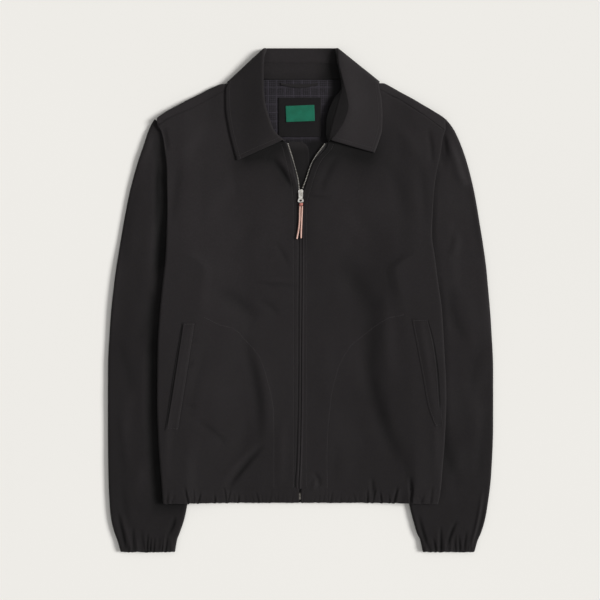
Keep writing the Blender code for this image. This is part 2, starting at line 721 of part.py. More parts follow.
def sleeve_row(side, y, counts):
    """One row round a sleeve, from its underarm seam round the inner edge, over the top and back.

    Above the underarm the sleeve opens, and both ends straighten out.
    """
    half = (SLEEVE_HEIGHT - SLEEVE) / 2
    centre = SLEEVE_HEIGHT / 2
    curl = 1 - smooth(y, UNDERARM, UNDERARM + 26)
    inner = read(SLEEVE_EDGE, "inner_" + side, y) + SLEEVE / 2
    outer = read(SLEEVE_EDGE, "outer_" + side, y) - SLEEVE / 2
    top_end = mix(read(SLEEVE_OPEN, "top", y), inner, curl)
    low_end = max(read(SLEEVE_OPEN, "bottom", y), inner + half + SEAM * 3)
    row = []
    for k, degrees in enumerate((270, 225, 180, 135)):
        a = math.radians(degrees)
        row.append((mix(top_end + half * k / 4, top_end + half + half * math.cos(a), curl),
                    mix(centre + half, centre + half * math.sin(a), curl), "top"))
    row += [(x, sleeve_height(side, x, y), "top")
            for x in spread((top_end + half, outer - half), (counts[0],))]
    row += [(x, z, "top") for x, z in arc(outer - half, centre, half, 90, -90, counts[1])]
    row += [(x, centre - half, "bottom") for x in spread((outer - half, low_end), (counts[2],))[1:]]
    points = []
    for x, z, face in row:
        share = max(0.0, min(1.0, (outer - x) / (outer - top_end)))
        drop = read(SLEEVE_OPEN, "drop_" + face, y) * share
        points.append((SIGN[side] * x, y - drop, z))
    return points


SLEEVE_ROWS = (-383.7, -366.0, -343.0, -314.0, -276.0, -232.0, -182.0, -130.0, -76.0, -24.0, 22.0,
               56.0, 65.0, 74.0, 86.0, 100.0, 135.0, 170.0, 200.0, 226.0, 250.0, 271.0, 283.0, 291.0)


def sleeve(side):
    rows = [sleeve_row(side, y, (6, 4, 2)) for y in SLEEVE_ROWS]
    return wall("sleeve_" + side, rows, "twill", SLEEVE / 2, SLEEVE / 2, facing=SIGN[side])


def cuff(side):
    """The elastic casing: a closed ring, gathered on top and flat underneath."""
    half = (SLEEVE_HEIGHT - SLEEVE) / 2
    centre = SLEEVE_HEIGHT / 2
    rows = []
    for y in (CUFF_BOTTOM, -393.0, CUFF_SEAM - SEAM):
        inner = read(SLEEVE_EDGE, "inner_" + side, y) + SLEEVE / 2 + half
        outer = read(SLEEVE_EDGE, "outer_" + side, y) - SLEEVE / 2 - half
        ring = [(x, centre + half) for x in spread((inner, outer), (22,))]
        ring += arc(outer, centre, half, 90, -90, 4)
        ring += [(x, centre - half) for x in spread((outer, inner), (6,))[1:]]
        ring += arc(inner, centre, half, -90, -270, 4)[:-1]
        rows.append([(SIGN[side] * x, y, z) for x, z in ring])
    faces_up = [smooth(z, centre, centre + 3.0) for _, _, z in rows[0]]
    reach = casing_reach(rows, CUFF_GATHERS, faces_up, SLEEVE / 2)
    return wall("cuff_" + side, rows, "twill", reach, SLEEVE / 2, ring=True, facing=SIGN[side])


# ---------------------------------------------------------------- collar
def collar_height(side, at, name, x, y):
    """Height of a station's point: over the front, or behind the neck, or between the two."""
    above = front_mid(side, x, y) + SHELL / 2 + at[name + "_up"]
    return mix(COLLAR_BEHIND[name], above, at["over"])


def collar_stations():
    """Stations from the left front end round to the right, closer where the table's are far."""
    stations = []
    for side in SIDES:
        data = dict(COLLAR_STATIONS[side])
        count = len(data["nx"])
        data["at"] = list(range(count))
        places = []
        for k in range(count - 1):
            places += [k, k + 0.5] if k < 6 or k >= count - 3 else [k]
        places.append(count - 1)
        if side == "right":
            places = places[::-1][1:]
        for place in places:
            at = {name: read(data, name, place, "at") for name in data if name != "at"}
            for name in "nsr":
                x, y = at[name + "x"], at[name + "y"]
                at[name] = Vector((SIGN[side] * x, y, collar_height(side, at, name, x, y)))
            at["tip"] = Vector((SIGN[side] * at["ox"], at["oy"], 0.0))
            stations.append((side, at))
    return stations


def leaf_point(side, at, start, share):
    """A point of the leaf between its roll and its free edge."""
    point = start.lerp(at["tip"], share)
    cover = front_mid(side, abs(point.x), point.y) + SHELL / 2 + LEAF_FLOAT
    rest = mix(LEAF_FLOOR, cover, at["over"])
    point.z = rest + (start.z - rest) * (1 - share) ** LEAF_FALL
    return point


def roll_turn(joint, roll, leaf, tangent, steps):
    """Points round the roll, square to it: the arc that the stand's and the leaf's lines touch."""
    arms = []
    for point in (joint, leaf):
        arm = point - roll
        arms.append((arm - tangent * arm.dot(tangent)).normalized())
    outward = -(arms[0] + arms[1]).normalized()
    across = tangent.cross(outward)
    centre = roll - outward * ROLL_RADIUS
    ends = []
    for point, hand in ((joint, 1.0), (leaf, -1.0)):
        offset = point - centre
        along, aside = offset.dot(outward), offset.dot(across) * hand
        lean = math.acos(min(1.0, ROLL_RADIUS / math.hypot(along, aside)))
        ends.append(hand * (math.atan2(aside, along) - lean))
    angles = [mix(ends[0], ends[1], k / steps) for k in range(steps + 1)]
    return [centre + (outward * math.cos(a) + across * math.sin(a)) * ROLL_RADIUS for a in angles]


def seam_end(joint, own, other, seam):
    """A piece's end at the leaf seam, held back so that the two walls clear each other."""
    toward, beyond = (own - joint).normalized(), (joint - other).normalized()
    bend = math.acos(max(-1.0, min(1.0, toward.dot(beyond))))
    square = max(0.35, toward.cross(seam).length)
    return joint + toward * (LEAF_SEAM + COLLAR / 2 * math.tan(bend / 2)) / square


def collar_sections():
    """For each station: the stand's points and the leaf's points."""
    stations = collar_stations()
    sections = []
    for k, (side, at) in enumerate(stations):
        joint, roll = at["s"], at["r"]
        before, after = stations[max(0, k - 1)][1], stations[min(len(stations) - 1, k + 1)][1]
        tangent = (after["r"] - before["r"]).normalized()
        turn = [roll]
        for _ in range(3):
            turn = roll_turn(joint, roll, leaf_point(side, at, turn[-1], 0.2), tangent, 4)
        seam = (after["s"] - before["s"]).normalized()
        middle = (joint + turn[0]) / 2
        leaf = [seam_end(joint, middle, at["n"], seam)] + turn
        leaf += [leaf_point(side, at, turn[-1], share) for share in (0.14, 0.32, 0.54, 0.78, 1.0)]
        stand_end = seam_end(joint, at["n"], middle, seam)
        sections.append(([at["n"], (at["n"] + stand_end) / 2, stand_end], leaf))
    return sections


def collar_wall(name, finish, index):
    rows = [section[index] for section in collar_sections()]
    return wall(name, rows, finish, COLLAR / 2, COLLAR / 2)


def collar_fall():
    return collar_wall("collar_fall", "twill", 1)


def collar_stand():
    return collar_wall("collar_stand", "twill_inside", 0)


# ---------------------------------------------------------------- what shows inside the neck
LINING_LIFT = SHELL / 2 + SEAM + THIN / 2
PATCH_LIFT = LINING_LIFT + THIN + SEAM
LABEL_THICK = 0.8


NECK_ROWS = [mix(FLAT_ROWS_END, BACK_NECK, share) for share in UPPER_SHARES]


def back_rest(y):
    """Height of the back's middle near the centre line, straight between its rows."""
    k = min(len(NECK_ROWS) - 2, max(0, bisect.bisect_right(NECK_ROWS, y) - 1))
    start, end = NECK_ROWS[k], NECK_ROWS[k + 1]
    low, high = back_mid("left", 0.0, start), back_mid("left", 0.0, end)
    return mix(low, high, max(0.0, (y - start) / (end - start)))


def rows_between(start, end):
    """A piece's own first and last rows, with the back's rows between them."""
    return [start] + [y for y in NECK_ROWS if start + 2 < y < end - 2] + [end]


def lay_on_back(name, finish, rows, lift, thickness):
    """A piece that lies inside on the back: rows of (x, y), raised by its lift."""
    placed = [[(x, y, back_rest(y) + lift) for x, y in row] for row in rows]
    return wall(name, placed, finish, thickness / 2, thickness / 2)


def lining_back():
    rows = [[(x, y) for x in spread((-72.0, 72.0), (4,))] for y in rows_between(136.0, 354.7)]
    return lay_on_back("lining_back", "lining", rows, LINING_LIFT, THIN)


def label_patch():
    rows = [[(x, y) for x in spread((-34.5, 33.5), (4,))] for y in rows_between(263.5, 326.0)]
    return lay_on_back("label_patch", "patch", rows, PATCH_LIFT, THIN)


def label_blank():
    tilt = math.radians(2.2)
    rows = []
    for v in spread((-12.6, 12.6), (2,)):
        rows.append([(0.3 + u * math.cos(tilt) - v * math.sin(tilt),
                      300.7 + u * math.sin(tilt) + v * math.cos(tilt))
                     for u in spread((-22.8, 22.8), (2,))])
    lift = PATCH_LIFT + THIN / 2 + SEAM * 1.3 + LABEL_THICK / 2
    return lay_on_back("label_blank", "label_green", rows, lift, LABEL_THICK)


def hanger_loop():
    """A narrow band across the back of the neck that sags between its ends."""
    rows = []
    for v in (-3.0, 3.0):
        row = []
        for x in spread((-31.0, 29.0), (10,)):
            sag = 3.5 * (1 - ((x + 1.0) / 30.0) ** 2)
            row.append((x, 348.2 + v - sag))
        rows.append(row)
    lift = LINING_LIFT + THIN / 2 + SEAM + WELT / 2
    return lay_on_back("hanger_loop", "twill_inside", rows, lift, WELT)


# ---------------------------------------------------------------- zip
def zip_tape(side):
    rows = []
    neck_rows = [mix(FLAT_ROWS_END, NECK_POINT, share) for share in UPPER_SHARES]
    places = [-319.0, -302.7, -180.0, -70.0, 24.0, 58.0, 78.0, FLAT_ROWS_END]
    places += [y for y in neck_rows if y < 250.0] + [150.0, 170.0, 180.0, 254.0]
    for y in sorted(places):
        start = read(ZIP_LINE, side, y)
        row = []
        for x in (start, start + TAPE_WIDTH / 2, start + TAPE_WIDTH):
            z = front_mid(side, x, y) - SHELL / 2 - SEAM * 1.4 - THIN / 2
            row.append((SIGN[side] * x, y, z))
        rows.append(row)
    return wall("zip_tape_" + side, rows, "tape", THIN / 2, THIN / 2, facing=SIGN[side])


def zip_guard():
    rows = []
    for y in spread((118.0, 225.0, 250.0, 255.5), (3, 2, 2)):
        left, right = (read(GUARD_OUTLINE, side, y) for side in SIDES)
        rows.append([(x, y, BACK_FLOOR + PATCH_LIFT) for x in spread((-left, right), (3,))])
    return wall("zip_guard", rows, "twill_inside", THIN / 2, THIN / 2)


def box(bm, low, high):
    """Add a box between two corners."""
    corners = [Vector((x, y, z)) for x in (low[0], high[0]) for y in (low[1], high[1])
               for z in (low[2], high[2])]
    verts = [bm.verts.new(corner) for corner in corners]
    for face in ((0, 1, 3, 2), (4, 6, 7, 5), (0, 4, 5, 1), (2, 3, 7, 6), (0, 2, 6, 4), (1, 5, 7, 3)):
        bm.faces.new([verts[i] for i in face])


def plate(bm, outline, low, high):
    """Add a flat plate with a given outline between two heights."""
    bottom = [bm.verts.new((x, y, low)) for x, y in outline]
    top = [bm.verts.new((x, y, high)) for x, y in outline]
    bm.faces.new(bottom[::-1])
    bm.faces.new(top)
    count = len(outline)
    for i in range(count):
        k = (i + 1) % count
        bm.faces.new((bottom[i], bottom[k], top[k], top[i]))


def join_solids(name, shapes, finish, cut=None, origin=(0.0, 0.0, 0.0)):
    """Join overlapping closed shapes into one body, less an optional cutter."""
    objects = []
    for index, fill in enumerate(shapes + ([cut] if cut else [])):
        bm = bmesh.new()
        fill(bm)
        objects.append(finish_mesh(name + "_piece_%d" % index, bm, finish, origin, 30.0))
    body = objects[0]
    for other in objects[1:]:
        change = body.modifiers.new("join", "BOOLEAN")
        change.solver = "EXACT"
        change.operation = "DIFFERENCE" if cut and other is objects[-1] else "UNION"
        change.object = other
    evaluated = body.evaluated_get(bpy.context.evaluated_depsgraph_get())
    mesh = bpy.data.meshes.new_from_object(evaluated)
    for made in objects:
        bpy.data.objects.remove(made)
    mesh.name = name
    joined = bpy.data.objects.new(name, mesh)
    joined.location = Vector(origin) * MM
    bpy.context.scene.collection.objects.link(joined)
    return joined


def slider():
    """Two plates with a neck between them, and the bridge that holds the pull tab."""
    x, y, z = PIVOT
    upper_face = 10.7
    outline = [(x - 2.4, 166.6), (x + 2.4, 166.6), (x + 3.4, 170.0), (x + 3.9, 176.5),
               (x + 2.2, 178.8), (x, 177.9), (x - 2.2, 178.8), (x - 3.9, 176.5), (x - 3.4, 170.0)]
    shapes = [
        lambda bm: plate(bm, outline, 9.6, upper_face),
        lambda bm: plate(bm, outline, 4.9, 5.7),
        lambda bm: box(bm, (x - 0.8, 172.0, 5.5), (x + 0.8, 177.3, 9.8)),
        lambda bm: box(bm, (x - 0.7, y - 2.8, upper_face - 0.2), (x + 0.7, y - 1.5, z + 1.7)),
        lambda bm: box(bm, (x - 0.7, y + 1.5, upper_face - 0.2), (x + 0.7, y + 2.8, z + 1.7)),
        lambda bm: box(bm, (x - 0.7, y - 2.8, z + 0.9), (x + 0.7, y + 2.8, z + 1.75)),
    ]
    return join_solids("slider", shapes, "metal")


def pull_tab():
    """A flat tab that widens to an eye, with a window for the slider's bridge."""
    x, y, z = PIVOT
    low, high = z - CROSSBAR, z + CROSSBAR
    outline = [(x - 3.5, y + 0.5), (x - 3.5, 168.0), (x - 2.9, 164.5), (x - 4.6, 161.0),
               (x - 4.3, 158.3), (x - 2.6, 157.4), (x + 2.6, 157.4), (x + 4.3, 158.3),
               (x + 4.6, 161.0), (x + 2.9, 164.5), (x + 3.5, 168.0), (x + 3.5, y + 0.5)]
    window = [(x - 2.4, y - 0.6), (x - 2.4, 168.5), (x + 2.4, 168.5), (x + 2.4, y - 0.6)]
    eye = [(x + 2.4 * math.cos(a), 160.2 + 1.5 * math.sin(a))
           for a in (math.radians(45 * k + 22.5) for k in range(8))]

    def holes(bm):
        plate(bm, window, low - 1.0, high + 1.0)
        plate(bm, eye, low - 1.0, high + 1.0)

    return join_solids("pull_tab", [lambda bm: plate(bm, outline, low, high)], "metal",
                       cut=holes, origin=PIVOT)


def pull_knot():
    """The leather knot under the tab, a slightly squashed ball."""
    bm = bmesh.new()
    bmesh.ops.create_uvsphere(bm, u_segments=12, v_segments=8, radius=1.0)
    for vert in bm.verts:
        vert.co = Vector((1.6 + 3.3 * vert.co.x, 154.4 + 2.5 * vert.co.y, 12.0 + 2.1 * vert.co.z))
    return finish_mesh("pull_knot", bm, "leather_knot", PIVOT)


def catmull(points, count):
    """Points along a smooth curve through hand-placed ones."""
    places = [Vector(p) for p in points]
    places = [places[0] * 2 - places[1]] + places + [places[-1] * 2 - places[-2]]
    curve = [places[1]]
    for k in range(1, len(places) - 2):
        a, b, c, d = places[k - 1:k + 3]
        for step in range(1, count + 1):
            t = step / count
            curve.append(0.5 * ((2 * b) + (c - a) * t + (2 * a - 5 * b + 4 * c - d) * t * t
                                + (3 * b - a - 3 * c + d) * t ** 3))
    return curve


def pull_strand(side):
    curve = bpy.data.curves.new("pull_strand_" + side, "CURVE")
    curve.dimensions = "3D"
    curve.bevel_depth = STRAND_RADIUS * MM
    curve.bevel_resolution = 2
    curve.use_fill_caps = True
    route = catmull(STRANDS[side], 3)
    spline = curve.splines.new("POLY")
    spline.points.add(len(route) - 1)
    for point, place in zip(spline.points, route):
        point.co = (*((place - Vector(PIVOT)) * MM), 1.0)
    curve.materials.append(material("leather"))
    made = bpy.data.objects.new("pull_strand_" + side, curve)
    made.location = Vector(PIVOT) * MM
    bpy.context.scene.collection.objects.link(made)
    return made


def zip_box():
    bm = bmesh.new()
    box(bm, (-1.7, -320.5, 5.95), (1.6, -309.0, 8.6))
    return finish_mesh("zip_box", bm, "metal")


# ---------------------------------------------------------------- the jacket
def main():
    for old in list(bpy.context.scene.objects):
        bpy.data.objects.remove(old, do_unlink=True)
    back()
    hem_back()
    for side in SIDES:
        front(side)
        hem_front(side)
        yoke(side)
        sleeve(side)
        cuff(side)
        pocket_welt(side)
        zip_tape(side)
        pull_strand(side)
    collar_stand()
    collar_fall()
    lining_back()
    label_patch()
    label_blank()
    hanger_loop()
    zip_guard()
    zip_box()
    slider()
    pull_tab()
    pull_knot()


main()
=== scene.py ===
"""Looks of the harrington jacket laid flat: cloth, sewing, zip teeth, label and light.

Lengths here are millimetres and the meshes are in metres, in the CAD model's frame. The tables
and functions from "cloth and layers" to "the collar's sections" repeat the CAD's own, so each
piece of cloth lies on its solid.
"""

import bisect
import math

import bpy
import numpy as np
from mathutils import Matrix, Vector
from mathutils.bvhtree import BVHTree


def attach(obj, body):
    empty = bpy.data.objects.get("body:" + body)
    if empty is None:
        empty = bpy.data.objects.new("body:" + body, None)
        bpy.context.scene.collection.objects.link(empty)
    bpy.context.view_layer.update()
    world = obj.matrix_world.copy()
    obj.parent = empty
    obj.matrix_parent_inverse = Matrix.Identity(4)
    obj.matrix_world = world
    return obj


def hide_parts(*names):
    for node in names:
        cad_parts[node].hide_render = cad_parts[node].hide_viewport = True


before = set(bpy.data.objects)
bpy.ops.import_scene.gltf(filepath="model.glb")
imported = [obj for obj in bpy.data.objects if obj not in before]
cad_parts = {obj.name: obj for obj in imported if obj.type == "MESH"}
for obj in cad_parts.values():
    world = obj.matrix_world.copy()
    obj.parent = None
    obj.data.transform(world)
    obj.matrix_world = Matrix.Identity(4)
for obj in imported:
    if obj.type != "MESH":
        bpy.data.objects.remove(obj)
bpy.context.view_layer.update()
SCENE = bpy.context.scene

MM = 0.001
SIDES = ("left", "right")
SIGN = {"left": -1.0, "right": 1.0}
STATION_STEPS = 5       # collar rows from one station to the next

# ---------------------------------------------------------------- camera and light
EYE = (0.0, 0.0008, 2.285)      # the camera over the floor, metres
LENS, SENSOR = 85.0, 36.0       # millimetres

lens = bpy.data.cameras.new("camera")
lens.lens, lens.sensor_width = LENS, SENSOR
camera = bpy.data.objects.new("camera", lens)
camera.location = EYE
SCENE.collection.objects.link(camera)
SCENE.camera = camera
SCENE.view_settings.view_transform = "Standard"
SCENE.view_settings.look = "None"


def studio(low, overhead, colour):
    """Even light from all round, brighter from straight above."""
    world = bpy.data.worlds.new("studio")
    world.use_nodes = True
    tree = world.node_tree
    shade = tree.nodes["Background"]
    shade.inputs["Color"].default_value = colour
    place = tree.nodes.new("ShaderNodeTexCoord")
    parts = tree.nodes.new("ShaderNodeSeparateXYZ")
    tree.links.new(place.outputs["Generated"], parts.inputs[0])
    value = parts.outputs["Z"]
    for operation, numbers in (("MAXIMUM", (0.0,)), ("POWER", (2.0,)),
                               ("MULTIPLY_ADD", (overhead, low))):
        step = tree.nodes.new("ShaderNodeMath")
        step.operation = operation
        tree.links.new(value, step.inputs[0])
        for socket, number in zip(step.inputs[1:], numbers):
            socket.default_value = number
        value = step.outputs[0]
    tree.links.new(value, shade.inputs["Strength"])
    SCENE.world = world


def sun(name, azimuth, elevation, strength, softness, colour):
    """A far soft light, azimuth counted from +X towards +Y."""
    light = bpy.data.lights.new(name, "SUN")
    light.energy, light.angle, light.color = strength, math.radians(softness), colour
    made = bpy.data.objects.new(name, light)
    a, e = math.radians(azimuth), math.radians(elevation)
    toward = Vector((math.cos(a) * math.cos(e), math.sin(a) * math.cos(e), math.sin(e)))
    made.rotation_euler = toward.to_track_quat("Z", "Y").to_euler()
    made.location = toward
    SCENE.collection.objects.link(made)


studio(low=0.08, overhead=0.66, colour=(1.0, 0.99, 0.99, 1.0))
sun("key", azimuth=7.0, elevation=37.0, strength=3.03, softness=20.0, colour=(1.0, 0.99, 0.99))


def table(columns, *rows):
    """Rows of numbers, kept as one list under each column's name."""
    return {name: [row[i] for row in rows] for i, name in enumerate(columns.split())}


# ---------------------------------------------------------------- cloth and layers
SHELL = 2.0             # body wall: twill shell and what backs it
COLLAR = 2.0            # collar leaf and stand
SLEEVE = 2.4            # sleeve wall
THIN = 1.0              # lining, patch, zip tape, guard
WELT = 1.2              # pocket welt and hanger loop
SEAM = 0.3              # clearance wherever two pieces meet
SLEEVE_HEIGHT = 8.7     # a flattened sleeve, floor to top

BACK_FLOOR = 1.0        # middle of the back where it rests on the surface
BACK_SIDE = 15.0        # middle of the back where it lies over its own flange
FLANGE_STEP = 2.5       # from one folded layer's middle to the next
FRONT_FLANGE = 10.1     # middle of the front's flange, just above the sleeve
SPARE = 3.4             # extra height of the front over the back, away from the sides
KNEE = 10.4             # middle of the back where it has climbed over the sleeve's edge
BACK_TURN = 1.25        # radius of the back's side fold
BACK_INSET = 5.2        # from the body's edge to the centre of that fold
YOKE_DROP = 8.4         # how much lower the back's armhole edge lies than its side fold
NECK_LIFT = 2.7         # the back rises over the collar leaf that lies under it
THROAT_LIFT = 1.4       # the front rises over the zip guard and slider

HEM_BOTTOM = -325.0
HEM_SEAM = -303.0
CUFF_SEAM = -384.0
CUFF_BOTTOM = -404.0
FLAT_ROWS_END = 100.0   # above this the panels' rows slant up towards the neck
UNDERARM = 57.0
BACK_NECK = 352.0
BACK_ARMHOLE = 202.0    # the back's armhole edge, from the centre line

# Outer edge of the body: the side fold, then the armhole seam above the underarm.
BODY_EDGE = table(
    "y left right",
    (-326, 219, 221), (-303, 221, 225.5), (-268, 224, 228.5), (-223, 227, 232), (-156, 229, 234.5),
    (-74, 228, 231), (-12, 224, 227), (28, 220, 221.5), (70, 215.5, 216), (105, 214, 211.5),
    (153, 213, 213.5), (185, 213.5, 216), (213, 214, 220.5), (240, 217, 226), (258, 219.5, 228.5),
    (272, 223.5, 232.5), (281, 229, 235),
)
SIDE_FOLD = table(
    "y width",
    (-326, 35), (-100, 48), (48, 60), (96, 6), (300, 6),
)
# Edge of each front from the centre line: zip, open neck, then neckline to the shoulder.
FRONT_EDGE = table(
    "y left right",
    (-326, 2.3, 2.1), (-303, 2.2, 2), (-285, 1.5, 1.4), (140, 1.5, 1.4), (168, 3, 4.4),
    (180, 4, 8.2), (192, 6.2, 11.6), (221, 13, 22.5), (254, 23.5, 45.5), (270, 48, 43),
    (288, 61, 43.5), (305, 70, 47.5), (325, 78, 56), (337, 81.5, 68), (345, 84, 84),
)
# The fold along the top of each shoulder, and the forward seam below it.
SHOULDER = table(
    "x left right seam_left seam_right",
    (84, 353, 353, 345, 345), (105, 350.4, 350.6, 341, 342.5), (118, 349, 348.8, 338, 341),
    (128, 347.9, 349.6, 334.5, 338.6), (134, 345.6, 349.6, 331.5, 336),
    (142, 342.3, 346.1, 327.5, 332), (161, 332.2, 335.4, 317, 322.5),
    (181, 322.2, 324.3, 306.5, 310), (198, 312.7, 314, 299, 299), (216, 302.7, 303.1, 290.5, 286),
    (230, 292.8, 294.1, 281, 275.5), (236, 288, 288.5, 277, 271),
)
ARMHOLE_TOP = {"left": 281.0, "right": 273.5}
NECK_POINT = 345.0      # where the neckline meets the forward shoulder seam
YOKE_BACK = 11.3        # shoulder fold to the yoke's seam behind
YOKE_GAP = 0.55         # clearance of both seams, measured along Y
SHOULDER_SLOPE = 1.12   # lengthens the shoulder fold's turn along Y, because the fold slants

# Sleeves: outer and inner edges, from the centre line.
SLEEVE_EDGE = table(
    "y outer_left outer_right inner_left inner_right",
    (-404, 288.7, 280.8, 201, 197.6), (-384, 294.6, 286.8, 197.5, 193),
    (-375, 298.2, 291, 194, 188.5), (-351, 304.2, 298.2, 186, 181.5),
    (-327, 306.6, 302.3, 181, 175.5), (-280, 308.5, 307.8, 170, 168), (-200, 309.3, 311, 150, 150),
    (-111, 309.2, 311, 142, 142), (-39, 305.7, 307.5, 138, 138), (33, 298.4, 301.6, 146, 146),
    (57, 295, 299.2, 154, 154), (129, 283.2, 288.5, 154, 154), (177, 273.6, 280, 154, 154),
    (225, 260.2, 267.8, 154, 154), (249, 252, 259.5, 154, 154), (273, 244, 248.6, 154, 154),
    (283, 239.6, 242, 154, 154), (291, 234.6, 235.4, 154, 154),
)
# Above the underarm a sleeve is open: where its upper and lower walls end.
SLEEVE_OPEN = table(
    "y top bottom drop_top drop_bottom",
    (57, 154, 154, 0, 0), (65, 156, 172, 0, 0), (74, 174, 184, 0, 0), (97, 206, 190, 0, 0),
    (180, 206, 190, 0, 0), (250, 206, 190, 6, 7), (291, 207, 192, 20, 12),
)

# The largest soft folds: each a line from x0, y0 to x1, y1, how far it bows sideways, its height
# (troughs are negative) and its half width.
BODY_FOLDS = [
    (83, 8, 158, -270, -11, -1.5, 15), (-72, -140, -119, -304, 5, -1.2, 13),
    (-74, 24, -4, 21, 0, -0.6, 7), (-48, 240, -15, 172, 3, -0.9, 6),
    (60, 200, 160, 60, 14, 0.9, 22), (-70, 150, -170, 10, -10, 0.8, 22),
    (30, -40, 52, -290, 5, 0.7, 14),
]
SLEEVE_FOLDS = [
    (231, 276, 226, 205, 4, -2.2, 7), (240, 272, 266, 176, -3, 1.3, 8),
    (-226, 272, -219, 180, -2, -1.8, 7), (-240, 268, -262, 190, 2, 0.8, 7),
    (246, 40, 282, -120, 6, 1, 14), (-252, 20, -283, -150, -6, 0.9, 14),
    (262, -230, 236, -330, -6, 1, 12), (-262, -240, -238, -340, 6, -1.1, 11),
    (-224, 190, -230, -300, 9, -2.2, 8), (224, 60, 234, -290, -6, -1.2, 7),
]
# Gathers of the hem's elastic casing: where each groove crosses it, its depth and its half width.
HEM_GATHERS = [
    (-211, 1.5, 3.4), (-201, 1.1, 3), (-184, 1.7, 4), (-171, 0.8, 3), (-159, 1.4, 3.6),
    (-139, 1.6, 4), (-122, 1.2, 3.4), (-112, 0.8, 3), (-99, 1.3, 3.6), (-72, 0.8, 4.2),
    (-46, 0.4, 4), (52, 0.4, 4), (84, 0.6, 4), (108, 1.1, 3.4), (121, 0.8, 3), (128, 1.2, 3),
    (141, 0.7, 3.2), (155, 1.5, 4), (177, 1.7, 4), (189, 1, 3), (198, 1.4, 3.2), (211, 1.3, 3),
]

# Stations round the collar, from its front end to the centre back. For each: where the stand is
# sewn to the neckline (n), where leaf and stand are joined (s), the roll (r), and the leaf's free
# edge (o). The heights are above the front's upper face. over is 1 where the collar lies on the
# fronts and 0 where it lies behind the neck.
COLLAR_STATIONS = {
    "left": table(
        "nx ny sx sy rx ry ox oy n_up s_up r_up over",
        (24, 256, 25.5, 256.6, 29, 257.5, 101, 225.5, 1.6, 2.8, 6, 1),
        (43, 268, 42, 268.5, 42, 271, 107, 246.5, 1.6, 3, 7.8, 1),
        (60, 291, 56, 292, 50.5, 293.5, 114, 277, 1.6, 3.8, 8, 1),
        (71.5, 314, 65, 315.5, 57, 318, 118.5, 308, 1.6, 3.8, 8.2, 1),
        (78, 336, 68.5, 340, 59, 344, 119, 330, 1.6, 3.4, 7.6, 1),
        (80.5, 350.5, 68.5, 361, 59.3, 372, 118.2, 341, 1.4, 2.6, 6.4, 1),
        (80.5, 356, 67, 371, 58.6, 391, 116, 346, 0.2, 1.2, 5, 1),
        (79.8, 357.6, 65.5, 378.5, 57.2, 401.8, 116.2, 349.2, -0.8, -0.2, 3, 0.85),
        (78.5, 358, 63.5, 380.5, 55.8, 404.4, 116.6, 350.6, -0.4, 0.6, 2, 0.5),
        (76, 357.8, 61.5, 381.3, 54.4, 405, 115.4, 349.2, 0, 0, 0, 0.15),
        (68, 356.6, 57, 381.8, 50, 405.3, 108, 341, 0, 0, 0, 0),
        (38, 355.6, 36, 382, 32, 405.3, 58, 330, 0, 0, 0, 0),
        (0, 355.4, 0, 382, 0, 405.3, 0, 327, 0, 0, 0, 0),
    ),
    "right": table(
        "nx ny sx sy rx ry ox oy n_up s_up r_up over",
        (45, 255.4, 46.5, 256, 50, 257.5, 119.6, 237.6, 1.6, 3.6, 6.2, 1),
        (42, 268, 48, 267.5, 60, 269, 125.6, 254, 1.7, 4.6, 8, 1),
        (42.3, 287, 52, 287.5, 72, 290, 131.5, 276, 1.7, 5, 8.6, 1),
        (46, 304, 57, 305, 77.5, 310, 132, 300, 1.7, 5, 8.6, 1),
        (54, 322, 63, 325.5, 75, 328, 130.5, 322, 1.7, 4.6, 8, 1),
        (69.5, 339.5, 67, 342.5, 69.5, 350, 128, 336, 1.5, 5.4, 8, 1),
        (79.5, 354.5, 66.5, 366, 60.5, 386, 126.5, 345.5, 0.6, 1.8, 5.4, 1),
        (79, 357.2, 66.5, 378, 59.6, 402, 127.2, 349.8, -0.8, -0.2, 3, 0.85),
        (78.3, 358, 65, 380.5, 58.8, 404.4, 127.6, 351.4, -0.4, 0.6, 2, 0.5),
        (76, 357.8, 63, 381.3, 57.4, 405, 126, 350, 0, 0, 0, 0.15),
        (68, 356.6, 58, 381.8, 52, 405.3, 117, 341, 0, 0, 0, 0),
        (38, 355.6, 36, 382, 32, 405.3, 62, 330, 0, 0, 0, 0),
        (0, 355.4, 0, 382, 0, 405.3, 0, 327, 0, 0, 0, 0),
    ),
}
COLLAR_BEHIND = {"n": 4.6, "s": 5.2, "r": 3.15}     # the same heights behind the neck
LEAF_FLOAT = 1.9        # the leaf's middle over the front's upper face, at its free edge
LEAF_FALL = 1.7         # how quickly the leaf comes down from its roll
LEAF_FLOOR = 1.1        # middle of the leaf where it lies under the back
ROLL_RADIUS = 2.05      # of the turn at the roll, to the middle of the wall
LEAF_SEAM = 0.45        # each wall stops this far from the line where they are joined

